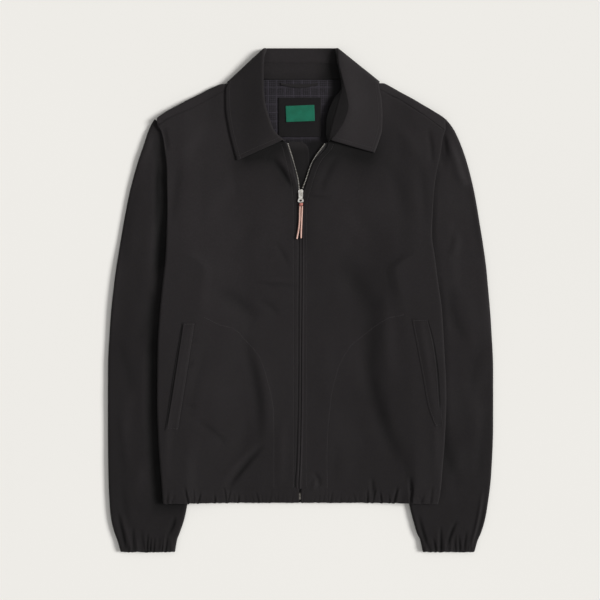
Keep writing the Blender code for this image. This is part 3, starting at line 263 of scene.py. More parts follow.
# Zip: inner edge of each tape from the centre line, then the slider and its pull.
ZIP_LINE = table(
    "y left right",
    (-319, 0.15, 0.15), (160, 0.15, 0.15), (170, 0.2, 2.7), (180, 1.6, 4.6), (192, 2.9, 9),
    (221, 10, 19), (254, 20.2, 41.8),
)
TAPE_WIDTH = 12.0
GUARD_OUTLINE = table(
    "y left right",
    (118, 15, 14), (190, 16, 14.4), (225, 18, 14.4), (243, 19, 13.4), (250, 19.2, 9.8),
    (255.5, 18.6, 3.4),
)
POCKETS = {
    "left": table(
        "y inner outer",
        (-208, 194.2, 215.3), (-120, 180.5, 202), (-35, 167.3, 187.8),
    ),
    "right": table(
        "y inner outer",
        (-202, 217, 228.6), (-171, 206, 225), (-119, 196.5, 221.8), (-71, 187.5, 215.2),
        (-29, 179.5, 204.6),
    ),
}
STRANDS = {
    "left": ((-0.2, 151.2, 11.8), (-0.5, 143, 11.6), (-0.9, 128, 11.3), (-2.5, 113, 10.9),
             (-5.1, 99, 10.4)),
    "right": ((3.5, 151.2, 11.8), (3.1, 142, 11.7), (2.5, 127, 11.3), (1.9, 113, 10.9),
              (1.6, 100, 10.4)),
}
STRAND_RADIUS = 1.3


def read(data, column, at, along="y"):
    """A column's value at a place, on a smooth curve that never overshoots the rows."""
    xs, ys = data[along], data[column]
    if at <= xs[0]:
        return ys[0]
    if at >= xs[-1]:
        return ys[-1]
    i = bisect.bisect_right(xs, at) - 1
    steps = [xs[k + 1] - xs[k] for k in range(len(xs) - 1)]
    rises = [(ys[k + 1] - ys[k]) / steps[k] for k in range(len(steps))]

    def slope(k):
        if k in (0, len(xs) - 1):
            return rises[min(k, len(rises) - 1)]
        if rises[k - 1] * rises[k] <= 0:
            return 0.0
        before, after = 2 * steps[k] + steps[k - 1], steps[k] + 2 * steps[k - 1]
        return (before + after) / (before / rises[k - 1] + after / rises[k])

    t = (at - xs[i]) / steps[i]
    start, end = slope(i) * steps[i], slope(i + 1) * steps[i]
    return (ys[i] * (1 + 2 * t) * (1 - t) ** 2 + start * t * (1 - t) ** 2
            + ys[i + 1] * t * t * (3 - 2 * t) + end * t * t * (t - 1))


def smooth(value, start, end):
    """0 before start, 1 after end and an easy curve between them."""
    t = min(1.0, max(0.0, (value - start) / (end - start)))
    return t * t * (3 - 2 * t)


def mix(a, b, t):
    return a + (b - a) * t


def spread(anchors, counts):
    """Positions from anchor to anchor, with the given number of equal steps in each stretch."""
    places = [anchors[0]]
    for start, end, count in zip(anchors, anchors[1:], counts):
        places += [mix(start, end, k / count) for k in range(1, count + 1)]
    return places


def fold_height(folds, x, y):
    """Sum of the soft folds at a point of the cloth."""
    total = 0.0
    for x0, y0, x1, y1, bow, height, width in folds:
        length = math.hypot(x1 - x0, y1 - y0)
        ux, uy = (x1 - x0) / length, (y1 - y0) / length
        t = ((x - x0) * ux + (y - y0) * uy) / length
        if 0.0 < t < 1.0:
            across = (y - y0) * ux - (x - x0) * uy - bow * 4 * t * (1 - t)
            total += height * math.sin(math.pi * t) * math.exp(-(across / width) ** 2)
    return total


def edge(side, y):
    return read(BODY_EDGE, side, y)


def yoke_share(y):
    """0 where the side is folded in four layers, 1 up at the armhole."""
    return smooth(y, 85.0, 160.0)


def side_seam(side, y):
    return edge(side, y) - read(SIDE_FOLD, "width", y)


def ramp_end(side, y):
    return min(side_seam(side, y) - 2.0, 192.0)


def knee(side, y):
    return min(read(SLEEVE_EDGE, "inner_" + side, y), ramp_end(side, y) - 20.0)


def side_share(side, x, y):
    """0 over the middle of the body, 1 beside the side fold."""
    return smooth(x, 55.0, ramp_end(side, y) - 6.0)


def back_mid(side, x, y):
    """Height of the middle of the back, x from the centre line."""
    upper = yoke_share(y)
    side_height = BACK_SIDE - YOKE_DROP * upper
    profile = table(
        "x z",
        (0.0, BACK_FLOOR),
        (80.0, BACK_FLOOR),
        (knee(side, y), KNEE - 7.4 * upper),
        (ramp_end(side, y), side_height),
        (400.0, side_height),
    )
    neck = NECK_LIFT * smooth(y, 262.0, 322.0) * (1 - smooth(x, 120.0, 150.0))
    fold = fold_height(BODY_FOLDS, SIGN[side] * x, y) * side_share(side, x, y)
    return read(profile, "z", x, "x") + neck + fold * (1 - smooth(x, 150.0, 175.0))


def front_mid(side, x, y):
    """Height of the middle of the front."""
    share = side_share(side, x, y)
    spare = SPARE * (1 - share * (1 - yoke_share(y)))
    throat = THROAT_LIFT * smooth(y, 60.0, 140.0) * (1 - smooth(x, 55.0, 95.0))
    fold = fold_height(BODY_FOLDS, SIGN[side] * x, y) * (1 - share)
    return back_mid(side, x, y) + FLANGE_STEP + spare + throat + fold


def front_turn(y):
    """Radius of the front's side fold, and the height of its centre."""
    top = BACK_SIDE + FLANGE_STEP + (SPARE - YOKE_DROP) * yoke_share(y)
    return (top - FRONT_FLANGE) / 2, (top + FRONT_FLANGE) / 2


def front_skin(side, x, y):
    """Height of the front's upper face, which curves down at the side fold."""
    radius, centre = front_turn(y)
    middle = edge(side, y) - radius - SHELL / 2
    if x <= middle:
        return front_mid(side, x, y) + SHELL / 2
    reach = min(1.0, (x - middle) / (radius + SHELL / 2))
    return centre + (radius + SHELL / 2) * math.sqrt(1 - reach * reach)


def back_neck_line(side, x):
    """Top edge of the back: straight across the neck, then just behind the shoulder fold."""
    return min(BACK_NECK, read(SHOULDER, side, x, "x") - YOKE_BACK)


def front_seam_line(side, x):
    """Forward shoulder seam."""
    return read(SHOULDER, "seam_" + side, x, "x")


def arc(centre_x, centre_z, radius, start, end, count):
    """Points of a turn seen along Y, angles in degrees, without its first point."""
    angles = [math.radians(mix(start, end, k / count)) for k in range(1, count + 1)]
    return [(centre_x + radius * math.cos(a), centre_z + radius * math.sin(a)) for a in angles]


def front_row(side, y_side, inner_x, inner_y, counts):
    """One row across a front: from its zip or neck edge out, round the side fold and under."""
    radius, centre = front_turn(y_side)
    turn = edge(side, y_side) - radius - SHELL / 2
    end = ramp_end(side, y_side)
    middle = max(80.0, mix(inner_x, knee(side, y_side), 0.35))
    anchors = (inner_x, middle, knee(side, y_side), end, turn)
    start, finish = read(FRONT_EDGE, side, NECK_POINT), edge(side, ARMHOLE_TOP[side])
    row = []
    for x in spread(anchors, counts[:4]):
        share = (x - inner_x) / (turn - inner_x)
        bow = (front_seam_line(side, mix(start, finish, share)) - NECK_POINT) / (
            ARMHOLE_TOP[side] - NECK_POINT)
        y = mix(inner_y, y_side, bow)
        row.append((x, y, front_mid(side, x, y)))
    row += [(x, y_side, z) for x, z in arc(turn, centre, radius, 90, -90, counts[4])]
    flange = spread((turn, side_seam(side, y_side)), counts[5:])[1:]
    row += [(x, y_side, FRONT_FLANGE) for x in flange]
    return [(SIGN[side] * x, y, z) for x, y, z in row]


def back_half_row(side, share, y, counts):
    """Half a row across the back, from the centre line out, round its side fold and under."""
    upper = smooth(y, 70.0, 98.0)
    top = FLAT_ROWS_END + share * (back_neck_line(side, BACK_ARMHOLE) - FLAT_ROWS_END)
    y_side = top if share > 0 else y
    turn = mix(edge(side, y_side) - BACK_INSET, BACK_ARMHOLE - BACK_TURN - SHELL / 2, upper)
    seam = mix(side_seam(side, y_side), BACK_ARMHOLE - 8.0, upper)
    anchors = (0.0, 80.0, knee(side, y_side), ramp_end(side, y_side), turn)
    row = []
    for x in spread(anchors, counts[:4]):
        y_here = y if share == 0 else mix(FLAT_ROWS_END, back_neck_line(side, x), share)
        row.append((x, y_here, back_mid(side, x, y_here)))
    y_turn, z_turn = row[-1][1], row[-1][2]
    row += [(x, y_turn, z)
            for x, z in arc(turn, z_turn - BACK_TURN, BACK_TURN, 90, -90, counts[4])]
    row += [(x, y_turn, z_turn - 2 * BACK_TURN) for x in spread((turn, seam), counts[5:])[1:]]
    return [(SIGN[side] * x, y_point, z) for x, y_point, z in row]


def back_row(share, y, counts):
    left, right = (back_half_row(side, share, y, counts) for side in SIDES)
    return left[::-1] + right[1:]


def sleeve_height(side, x, y):
    """Middle of the sleeve's upper wall."""
    return SLEEVE_HEIGHT - SLEEVE / 2 + fold_height(SLEEVE_FOLDS, SIGN[side] * x, y)


def sleeve_row(side, y, counts):
    """One row round a sleeve, from its underarm seam round the inner edge, over the top and back.

    Above the underarm the sleeve opens, and both ends straighten out.
    """
    half = (SLEEVE_HEIGHT - SLEEVE) / 2
    centre = SLEEVE_HEIGHT / 2
    curl = 1 - smooth(y, UNDERARM, UNDERARM + 26)
    inner = read(SLEEVE_EDGE, "inner_" + side, y) + SLEEVE / 2
    outer = read(SLEEVE_EDGE, "outer_" + side, y) - SLEEVE / 2
    top_end = mix(read(SLEEVE_OPEN, "top", y), inner, curl)
    low_end = max(read(SLEEVE_OPEN, "bottom", y), inner + half + SEAM * 3)
    row = []
    for k in range(10):
        a = math.radians(270 - 18 * k)
        row.append((mix(top_end + half * k / 10, top_end + half + half * math.cos(a), curl),
                    mix(centre + half, centre + half * math.sin(a), curl), "top"))
    row += [(x, sleeve_height(side, x, y), "top")
            for x in spread((top_end + half, outer - half), (counts[0],))]
    row += [(x, z, "top") for x, z in arc(outer - half, centre, half, 90, -90, counts[1])]
    row += [(x, centre - half, "bottom")
            for x in spread((outer - half, low_end), (counts[2],))[1:]]
    points = []
    for x, z, face in row:
        share = max(0.0, min(1.0, (outer - x) / (outer - top_end)))
        drop = read(SLEEVE_OPEN, "drop_" + face, y) * share
        points.append((SIGN[side] * x, y - drop, z))
    return points


# ---------------------------------------------------------------- the collar's sections
def collar_height(side, at, name, x, y):
    """Height of a station's point: over the front, or behind the neck, or between the two."""
    above = front_mid(side, x, y) + SHELL / 2 + at[name + "_up"]
    return mix(COLLAR_BEHIND[name], above, at["over"])


def collar_stations():
    """Stations from the left front end round to the right, closer where the table's are far."""
    stations = []
    for side in SIDES:
        data = dict(COLLAR_STATIONS[side])
        count = len(data["nx"])
        data["at"] = list(range(count))
        places = []
        for k in range(count - 1):
            places += [k + step / STATION_STEPS for step in range(STATION_STEPS)]
        places.append(count - 1)
        if side == "right":
            places = places[::-1][1:]
        for place in places:
            at = {name: read(data, name, place, "at") for name in data if name != "at"}
            for name in "nsr":
                x, y = at[name + "x"], at[name + "y"]
                at[name] = Vector((SIGN[side] * x, y, collar_height(side, at, name, x, y)))
            at["tip"] = Vector((SIGN[side] * at["ox"], at["oy"], 0.0))
            stations.append((side, at))
    return stations


def leaf_point(side, at, start, share):
    """A point of the leaf between its roll and its free edge."""
    point = start.lerp(at["tip"], share)
    cover = front_mid(side, abs(point.x), point.y) + SHELL / 2 + LEAF_FLOAT
    rest = mix(LEAF_FLOOR, cover, at["over"])
    point.z = rest + (start.z - rest) * (1 - share) ** LEAF_FALL
    return point


def roll_turn(joint, roll, leaf, tangent, steps):
    """Points round the roll, square to it: the arc that the stand's and the leaf's lines touch."""
    arms = []
    for point in (joint, leaf):
        arm = point - roll
        arms.append((arm - tangent * arm.dot(tangent)).normalized())
    outward = -(arms[0] + arms[1]).normalized()
    across = tangent.cross(outward)
    centre = roll - outward * ROLL_RADIUS
    ends = []
    for point, hand in ((joint, 1.0), (leaf, -1.0)):
        offset = point - centre
        along, aside = offset.dot(outward), offset.dot(across) * hand
        lean = math.acos(min(1.0, ROLL_RADIUS / math.hypot(along, aside)))
        ends.append(hand * (math.atan2(aside, along) - lean))
    angles = [mix(ends[0], ends[1], k / steps) for k in range(steps + 1)]
    return [centre + (outward * math.cos(a) + across * math.sin(a)) * ROLL_RADIUS for a in angles]


def seam_end(joint, own, other, seam):
    """A piece's end at the leaf seam, held back so that the two walls clear each other."""
    toward, beyond = (own - joint).normalized(), (joint - other).normalized()
    bend = math.acos(max(-1.0, min(1.0, toward.dot(beyond))))
    square = max(0.35, toward.cross(seam).length)
    return joint + toward * (LEAF_SEAM + COLLAR / 2 * math.tan(bend / 2)) / square


def collar_sections():
    """For each station: the stand's points and the leaf's points."""
    stations = collar_stations()
    sections = []
    for k, (side, at) in enumerate(stations):
        joint, roll = at["s"], at["r"]
        before, after = stations[max(0, k - 1)][1], stations[min(len(stations) - 1, k + 1)][1]
        tangent = (after["r"] - before["r"]).normalized()
        turn = [roll]
        for _ in range(3):
            turn = roll_turn(joint, roll, leaf_point(side, at, turn[-1], 0.2), tangent, 10)
        seam = (after["s"] - before["s"]).normalized()
        middle = (joint + turn[0]) / 2
        start = seam_end(joint, middle, at["n"], seam)
        leaf = [start.lerp(turn[0], k / 6) for k in range(6)] + turn
        leaf += [leaf_point(side, at, turn[-1], share) for share in spread((0.0, 1.0), (26,))[1:]]
        stand_end = seam_end(joint, at["n"], middle, seam)
        stand = [at["n"].lerp(stand_end, k / 10) for k in range(11)]
        sections.append((stand, leaf))
    return sections


# ---------------------------------------------------------------- the pull's two leather strands
PULL = "pull"
JACKET = "jacket"
STRAND_STEPS = 8        # points from one of a strand's places to the next


def finer_rows(grid, factor):
    """More rows, or points, on a smooth curve through the given ones."""
    ends = [2 * grid[:1] - grid[1:2], grid, 2 * grid[-1:] - grid[-2:-1]]
    g = np.concatenate(ends)
    a, b, c, d = g[:-3], g[1:-2], g[2:-1], g[3:]
    parts = []
    for k in range(factor):
        t = k / factor
        parts.append(0.5 * (2 * b + (c - a) * t + (2 * a - 5 * b + 4 * c - d) * t * t
                            + (3 * b - a - 3 * c + d) * t ** 3))
    mixed = np.stack(parts, axis=1).reshape(-1, *grid.shape[1:])
    return np.concatenate([mixed, grid[-1:]])


def tube(name, points, radius, resolution):
    """A round cord through the points, with closed ends."""
    curve = bpy.data.curves.new(name, "CURVE")
    curve.dimensions = "3D"
    curve.bevel_depth = 1.0         # metres; each point's own radius scales it down
    curve.bevel_resolution = resolution
    curve.use_fill_caps = True
    spline = curve.splines.new("POLY")
    spline.points.add(len(points) - 1)
    for point, place in zip(spline.points, points):
        point.co = (*(place * MM), 1.0)
        point.radius = radius * MM
    made = bpy.data.objects.new(name, curve)
    SCENE.collection.objects.link(made)
    return made


def lay_strand(side):
    route = [Vector(place) for place in finer_rows(np.array(STRANDS[side]), STRAND_STEPS)]
    made = tube("thong_" + side, route, STRAND_RADIUS, 4)
    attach(made, PULL)
    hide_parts("pull_strand_" + side)
    return made


THONGS = [lay_strand(side) for side in SIDES]


# ---------------------------------------------------------------- materials
class Shading:
    """A Principled material whose inputs are worked out by small node formulas."""

    def __init__(self, name):
        self.material = bpy.data.materials.new(name)
        self.material.use_nodes = True
        self.tree = self.material.node_tree
        self.shader = self.tree.nodes["Principled BSDF"]
        self.place = self.tree.nodes.new("ShaderNodeTexCoord")

    def link(self, value, socket):
        if isinstance(value, bpy.types.NodeSocket):
            self.tree.links.new(value, socket)
        else:
            socket.default_value = value

    def math(self, operation, a, b=0.0, c=0.0):
        made = self.tree.nodes.new("ShaderNodeMath")
        made.operation = operation
        for value, socket in zip((a, b, c), made.inputs):
            self.link(value, socket)
        return made.outputs[0]

    def noise(self, scale, detail=2.0, roughness=0.5, distortion=0.0):
        made = self.tree.nodes.new("ShaderNodeTexNoise")
        self.link(self.place.outputs["Object"], made.inputs["Vector"])
        for name, value in (("Scale", scale), ("Detail", detail), ("Roughness", roughness),
                            ("Distortion", distortion)):
            made.inputs[name].default_value = value
        return made.outputs["Fac"]

    def ramp(self, value, low, high, to_low=0.0, to_high=1.0):
        made = self.tree.nodes.new("ShaderNodeMapRange")
        made.interpolation_type = "SMOOTHSTEP"
        for socket, number in zip(made.inputs, (value, low, high, to_low, to_high)):
            self.link(number, socket)
        return made.outputs[0]

    def mix(self, share, a, b):
        made = self.tree.nodes.new("ShaderNodeMix")
        made.data_type = "RGBA"
        self.link(share, made.inputs["Factor"])
        self.link(a, made.inputs["A"])
        self.link(b, made.inputs["B"])
        return made.outputs["Result"]

    def coords(self, name="UV"):
        made = self.tree.nodes.new("ShaderNodeSeparateXYZ")
        self.link(self.place.outputs[name], made.inputs[0])
        return made.outputs[0], made.outputs[1]

    def attribute(self, name):
        made = self.tree.nodes.new("ShaderNodeAttribute")
        made.attribute_name = name
        return made.outputs["Fac"]

    def bump(self, height, distance):
        made = self.tree.nodes.new("ShaderNodeBump")
        self.link(height, made.inputs["Height"])
        made.inputs["Distance"].default_value = distance
        self.link(made.outputs[0], self.shader.inputs["Normal"])

    def set(self, **values):
        for name, value in values.items():
            self.link(value, self.shader.inputs[name.replace("_", " ")])


def rgb(*srgb):
    """A display colour, 0 to 255, as the linear colour that the shader takes."""
    linear = (((c / 255 + 0.055) / 1.055) ** 2.4 if c > 10 else c / 255 / 12.92 for c in srgb)
    return (*linear, 1.0)


def stripes(m, along, pitch):
    """A wave from 0 to 1 that repeats at a pitch in metres."""
    wave = m.math("SINE", m.math("MULTIPLY", along, 2 * math.pi / pitch))
    return m.math("MULTIPLY_ADD", wave, 0.5, 0.5)


TWILL_PITCH = 0.0009    # metres from one diagonal of the weave to the next
TWILL_RELIEF = 0.0001
RIB_RELIEF = 0.00012


def twill(name, colour, light, sheen=0.08):
    """The jacket's cloth: diagonal weave, mottled dye, painted shade and painted light, worn
    edges, some lint.
    """
    m = Shading(name)
    pale_for_light_and_wear = rgb(*[c + 26 for c in light])
    u, v = m.coords()
    diagonal = stripes(m, m.math("MULTIPLY_ADD", v, 0.62, u), TWILL_PITCH)
    yarn = stripes(m, m.math("MULTIPLY_ADD", u, -0.35, v), TWILL_PITCH * 0.47)
    slub = m.noise(420.0, 2.0, 0.6)
    mottle = m.noise(16.0, 4.0, 0.55)
    dye = m.noise(3.2, 2.0, 0.5)
    weave = m.math("MULTIPLY_ADD", diagonal, 0.7, m.math("MULTIPLY", yarn, 0.3))
    share = m.math("MULTIPLY_ADD", weave, 0.22, m.math("MULTIPLY", m.ramp(slub, 0.35, 0.75), 0.30))
    share = m.math("ADD", share, m.math("MULTIPLY", m.ramp(mottle, 0.3, 0.7), 0.20))
    share = m.math("ADD", share, m.math("MULTIPLY", m.ramp(dye, 0.3, 0.7), 0.10))
    base = m.mix(share, rgb(*colour), rgb(*light))
    tone = m.attribute("tone")
    # Painted shade: tone below 0 darkens the cloth towards near black. Painted light: tone above 0
    # lightens it towards pale.
    base = m.mix(m.math("MAXIMUM", m.math("MULTIPLY", tone, -0.62), 0.0), base, rgb(8, 7, 7))
    base = m.mix(m.math("MAXIMUM", m.math("MULTIPLY", tone, 0.30), 0.0), base, pale_for_light_and_wear)
    worn = m.attribute("wear")
    worn = m.math("MULTIPLY", worn, m.ramp(m.noise(140.0, 3.0), 0.25, 0.75, 0.3, 1.0))
    base = m.mix(m.math("MULTIPLY", worn, 0.6), base, pale_for_light_and_wear)
    lint = m.ramp(m.noise(2100.0, 0.0, 0.5), 0.80, 0.86)
    base = m.mix(m.math("MULTIPLY", lint, 0.35), base, rgb(96, 92, 92))
    m.set(Base_Color=base, Roughness=m.ramp(mottle, 0.3, 0.7, 0.80, 0.92), Sheen_Weight=sheen,
          Sheen_Roughness=0.45, Specular_IOR_Level=0.22)
    m.bump(m.math("ADD", weave, m.math("MULTIPLY", slub, 0.5)), TWILL_RELIEF)
    return m.material


def checked(name):
    """The lining: fine pale lines in both directions, with a stronger one at wider steps, and
    painted shade.
    """
    m = Shading(name)
    x, y = m.coords("Object")
    near = m.noise(60.0, 2.0)
    lines = []
    for along in (x, y):
        place = m.math("MULTIPLY_ADD", near, 0.0008, along)
        fine = m.ramp(stripes(m, place, 0.0034), 0.72, 0.98)
        pane = m.ramp(stripes(m, place, 0.0136), 0.94, 0.985)
        lines.append(m.math("MULTIPLY_ADD", fine, 0.50, m.math("MULTIPLY", pane, 0.50)))
    share = m.math("MAXIMUM", lines[0], lines[1])
    share = m.math("MULTIPLY", share, m.ramp(m.noise(700.0, 1.0), 0.3, 0.7, 0.4, 1.0))
    mottle = m.mix(m.ramp(m.noise(22.0, 3.0), 0.3, 0.7), rgb(21, 19, 21), rgb(29, 27, 30))
    # Painted shade: tone below 0 darkens the lining towards near black.
    base = m.mix(m.math("MULTIPLY", m.attribute("tone"), -0.9),
                 m.mix(share, mottle, rgb(66, 62, 71)), rgb(7, 6, 7))
    m.set(Base_Color=base, Roughness=0.85, Sheen_Weight=0.03, Specular_IOR_Level=0.2)
    m.bump(m.noise(1500.0, 1.0), 0.00008)
    return m.material


def ribbed(name, colour, light, pitch, gloss=0.7, coords="UV"):
    """Woven tape, label or thread: ribs across it and a little mottling."""
    m = Shading(name)
    u, v = m.coords(coords)
    rib = stripes(m, v, pitch)
    cross = stripes(m, u, pitch * 0.6)
    share = m.math("MULTIPLY_ADD", rib, 0.35, m.math("MULTIPLY", cross, 0.2))
    share = m.math("MULTIPLY_ADD", m.ramp(m.noise(90.0, 3.0), 0.3, 0.7), 0.4, share)
    m.set(Base_Color=m.mix(share, rgb(*colour), rgb(*light)), Roughness=gloss, Sheen_Weight=0.1,
          Specular_IOR_Level=0.3)
    m.bump(m.math("ADD", rib, cross), RIB_RELIEF)
    return m.material


def leather(name, colour, dark):
    m = Shading(name)
    grain = m.noise(1300.0, 4.0, 0.6)
    tone = m.noise(120.0, 3.0, 0.6, distortion=0.6)
    crease = m.ramp(grain, 0.35, 0.6)
    share = m.math("MULTIPLY_ADD", m.ramp(tone, 0.3, 0.7), 0.6, m.math("MULTIPLY", crease, 0.4))
    m.set(Base_Color=m.mix(share, rgb(*dark), rgb(*colour)),
          Roughness=m.ramp(tone, 0.3, 0.7, 0.5, 0.75), Specular_IOR_Level=0.35)
    m.bump(grain, 0.0002)
    return m.material


def metal(name, colour, dark, gloss=0.34):
    m = Shading(name)
    rub = m.noise(260.0, 4.0, 0.65)
    fine = m.noise(2400.0, 2.0)
    m.set(Base_Color=m.mix(m.ramp(rub, 0.35, 0.65), rgb(*dark), rgb(*colour)), Metallic=1.0,
          Roughness=m.ramp(rub, 0.3, 0.7, gloss + 0.15, gloss - 0.06))
    m.bump(fine, 0.00004)
    return m.material


def paper(name, colour):
    m = Shading(name)
    tone = m.ramp(m.noise(1.2, 2.0), 0.2, 0.8, 0.0, 1.0)
    m.set(Base_Color=m.mix(tone, rgb(*colour), rgb(*[c + 2 for c in colour])), Roughness=0.95,
          Specular_IOR_Level=0.1)
    m.bump(m.noise(300.0, 2.0), 0.00005)
    return m.material


LOOKS = {
    "twill": twill("shell_twill", (28, 25, 26), (41, 38, 39)),
    # The sleeve's twill is a touch darker and the collar's a touch lighter than the shell's: the
    # same cloth, as painted shade and painted light.
    "twill_sleeve_shaded": twill("sleeve_twill_shaded", (27, 24, 25), (40, 37, 38)),
    "twill_collar_lit": twill("collar_twill_lit", (29, 26, 27), (43, 40, 41)),
    "twill_inside": twill("inside_twill", (28, 26, 27), (42, 39, 40), sheen=0.05),
    "lining": checked("checked_lining"),
    "patch": twill("patch_twill", (15, 13, 14), (24, 22, 23), sheen=0.02),
    "label_green": ribbed("label_weave", (4, 90, 66), (14, 116, 90), 0.0007, 0.75),
    "tape": ribbed("zip_tape_weave", (20, 18, 19), (34, 32, 33), 0.0008),
    "thread": ribbed("stitch_thread", (44, 41, 42), (64, 60, 61), 0.0004, 0.8, "Object"),
    "metal": metal("nickel", (236, 234, 228), (176, 172, 164), 0.42),
    # The zip box: the zip's own metal darkened, painted shade where the fronts' edges cover it.
    "metal_painted_shade": metal("zip_box_metal_painted_shade", (120, 116, 110), (60, 57, 54), 0.45),
    "teeth": metal("zip_metal", (240, 237, 230), (176, 171, 160), 0.36),
    # The closed teeth: the zip's own metal darkened, painted shade under the fronts' edges.
    "teeth_painted_shade": metal("zip_metal_painted_shade", (52, 49, 47), (30, 28, 27), 0.5),
    "leather": leather("thong_leather", (226, 190, 176), (190, 146, 130)),
    "leather_knot": leather("knot_leather", (206, 140, 128), (160, 92, 80)),
}

# ---------------------------------------------------------------- fine grids
SHEETS = {}


def link(name, mesh, look, nodes, body=JACKET):
    made = bpy.data.objects.new(name, mesh)
    SCENE.collection.objects.link(made)
    mesh.materials.append(LOOKS[look])
    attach(made, body)
    if nodes:
        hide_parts(*nodes)
    return made


def grid_of(rows):
    return np.array([[tuple(p) for p in row] for row in rows], dtype=float)


def unit(vectors):
    return vectors / np.maximum(np.linalg.norm(vectors, axis=-1, keepdims=True), 1e-9)


def grid_normal(grid, ring=False):
    if ring:
        across = np.roll(grid, -1, axis=1) - np.roll(grid, 1, axis=1)
    else:
        across = np.gradient(grid, axis=1)
    return unit(np.cross(across, np.gradient(grid, axis=0)))


def lengths(grid, axis):
    """How far along its row or column each point of a grid lies."""
    steps = np.linalg.norm(np.diff(grid, axis=axis), axis=-1)
    start = np.zeros_like(steps.take([0], axis=axis))
    return np.concatenate([start, np.cumsum(steps, axis=axis)], axis=axis)


def sheet_area(grid, ring=False):
    """Area of the middle surface, and its length and width, in metres."""
    g = np.concatenate([grid, grid[:, :1]], axis=1) if ring else grid
    u, v = g[:-1, 1:] - g[:-1, :-1], g[1:, :-1] - g[:-1, :-1]
    area = np.linalg.norm(np.cross(u, v), axis=-1).sum() * MM * MM
    width = lengths(g, 1)[:, -1].max() * MM
    height = lengths(g, 0)[-1].max() * MM
    return area, width, height


def shell(name, grid, half, facing, look, slot, nodes, shift=0.0, outer=0.0, wear=0.0, tone=0.0,
          ring=False, rim=0.35, held="laid", rests_on=()):
    """A thin closed sheet of cloth about a grid, with rounded rims.

    shift moves both faces outward, and outer only the outer one, each a number or an array.
    """
    normal = grid_normal(grid, ring) * facing
    rows, cols = grid.shape[:2]
    shift, outer, wear, tone = (np.broadcast_to(np.asarray(a, float), (rows, cols))
                                for a in (shift, outer, wear, tone))
    middle = grid + normal * shift[..., None]
    upper = middle + normal * (half + outer)[..., None]
    lower = middle - normal * half
    index = np.arange(rows * cols).reshape(rows, cols)
    beside = np.roll(index, -1, axis=1)
    spans = cols if ring else cols - 1
    a, b, c, d = index[:-1, :spans], beside[:-1, :spans], beside[1:, :spans], index[1:, :spans]
    faces = [np.stack([a, b, c, d], axis=-1).reshape(-1, 4),
             np.stack([a, d, c, b], axis=-1).reshape(-1, 4) + rows * cols]
    points = [upper.reshape(-1, 3), lower.reshape(-1, 3)]
    if ring:
        rims = [(index[0], grid[0] - grid[1]), (index[-1][::-1], (grid[-1] - grid[-2])[::-1])]
    else:
        around = np.concatenate([index[0], index[1:, -1], index[-1, :-1][::-1],
                                 index[1:-1, 0][::-1]])
        out = np.zeros_like(grid)
        out[0] += unit(grid[0] - grid[1])
        out[-1] += unit(grid[-1] - grid[-2])
        out[:, 0] += unit(grid[:, 0] - grid[:, 1])
        out[:, -1] += unit(grid[:, -1] - grid[:, -2])
        rims = [(around, out.reshape(-1, 3)[around])]
    base = 2 * rows * cols
    for loop, out in rims:
        points.append(middle.reshape(-1, 3)[loop] + unit(out) * rim)
        ids = base + np.arange(len(loop))
        base += len(loop)
        after, ids_after = np.roll(loop, -1), np.roll(ids, -1)
        faces.append(np.stack([after, loop, ids, ids_after], axis=-1))
        faces.append(np.stack([ids_after, ids, loop + rows * cols, after + rows * cols], axis=-1))
    points = np.concatenate(points) * MM
    points[:, 2] = np.maximum(points[:, 2], 0.0)
    faces = np.concatenate(faces)
    mesh = bpy.data.meshes.new(name)
    mesh.from_pydata(points.tolist(), [], (faces[:, ::-1] if facing < 0 else faces).tolist())
    mesh.shade_smooth()

    def on_points(values, at_rim=0.0):
        """Values of the grid for both faces, then for the rims."""
        flat = values.reshape(rows * cols, -1)
        return np.concatenate([flat, flat] + [flat[loop] + at_rim for loop, _ in rims])

    uv = on_points(np.stack([lengths(grid, 1) * MM, lengths(grid, 0) * MM], axis=-1))
    corner = np.empty(len(mesh.loops), dtype=np.int32)
    mesh.loops.foreach_get("vertex_index", corner)
    layer = mesh.uv_layers.new(name="cloth")
    layer.data.foreach_set("uv", uv[corner].astype(np.float32).ravel())
    # wear lightens worn cloth; tone carries painted shade (below 0) and painted light (above 0),
    # with some random clouding.
    for kind, values in (("wear", np.clip(on_points(wear, 0.25), 0, 1)),
                         ("tone", np.clip(on_points(tone), -1.5, 1))):
        stored = mesh.attributes.new(kind, "FLOAT", "POINT")
        stored.data.foreach_set("value", values.astype(np.float32).ravel())
    made = link(name, mesh, look, nodes)
    SHEETS[name] = (made, sheet_area(grid, ring), held, list(rests_on))
    return made


def solid(name, verts, faces, look, body=JACKET, smooth=True):
    """A mesh from points in millimetres, for a piece that stands for no node of its own."""
    mesh = bpy.data.meshes.new(name)
    mesh.from_pydata([tuple(v * MM) for v in verts], [], faces)
    if smooth:
        mesh.shade_smooth()
    return link(name, mesh, look, (), body)


# ---------------------------------------------------------------- creases, stitches and shade
RIPPLE_WAVES = 9
PUCKER_PITCH = 7.5      # along a row of stitches
PUCKER_REACH = 4.5      # away from it
PUCKER_SEED = 11


def bell(away, width):
    """1 on a line, falling to 0 on both sides of it."""
    return np.exp(-(away / width) ** 2)


def smooth_array(value, start, end):
    t = np.clip((value - start) / (end - start), 0.0, 1.0)
    return t * t * (3 - 2 * t)


def column_at(data, column, y):
    """A table's column at every point, from its values 2 mm apart."""
    places = np.arange(-410.0, 302.0, 2.0)
    return np.interp(y, places, [read(data, column, place) for place in places])


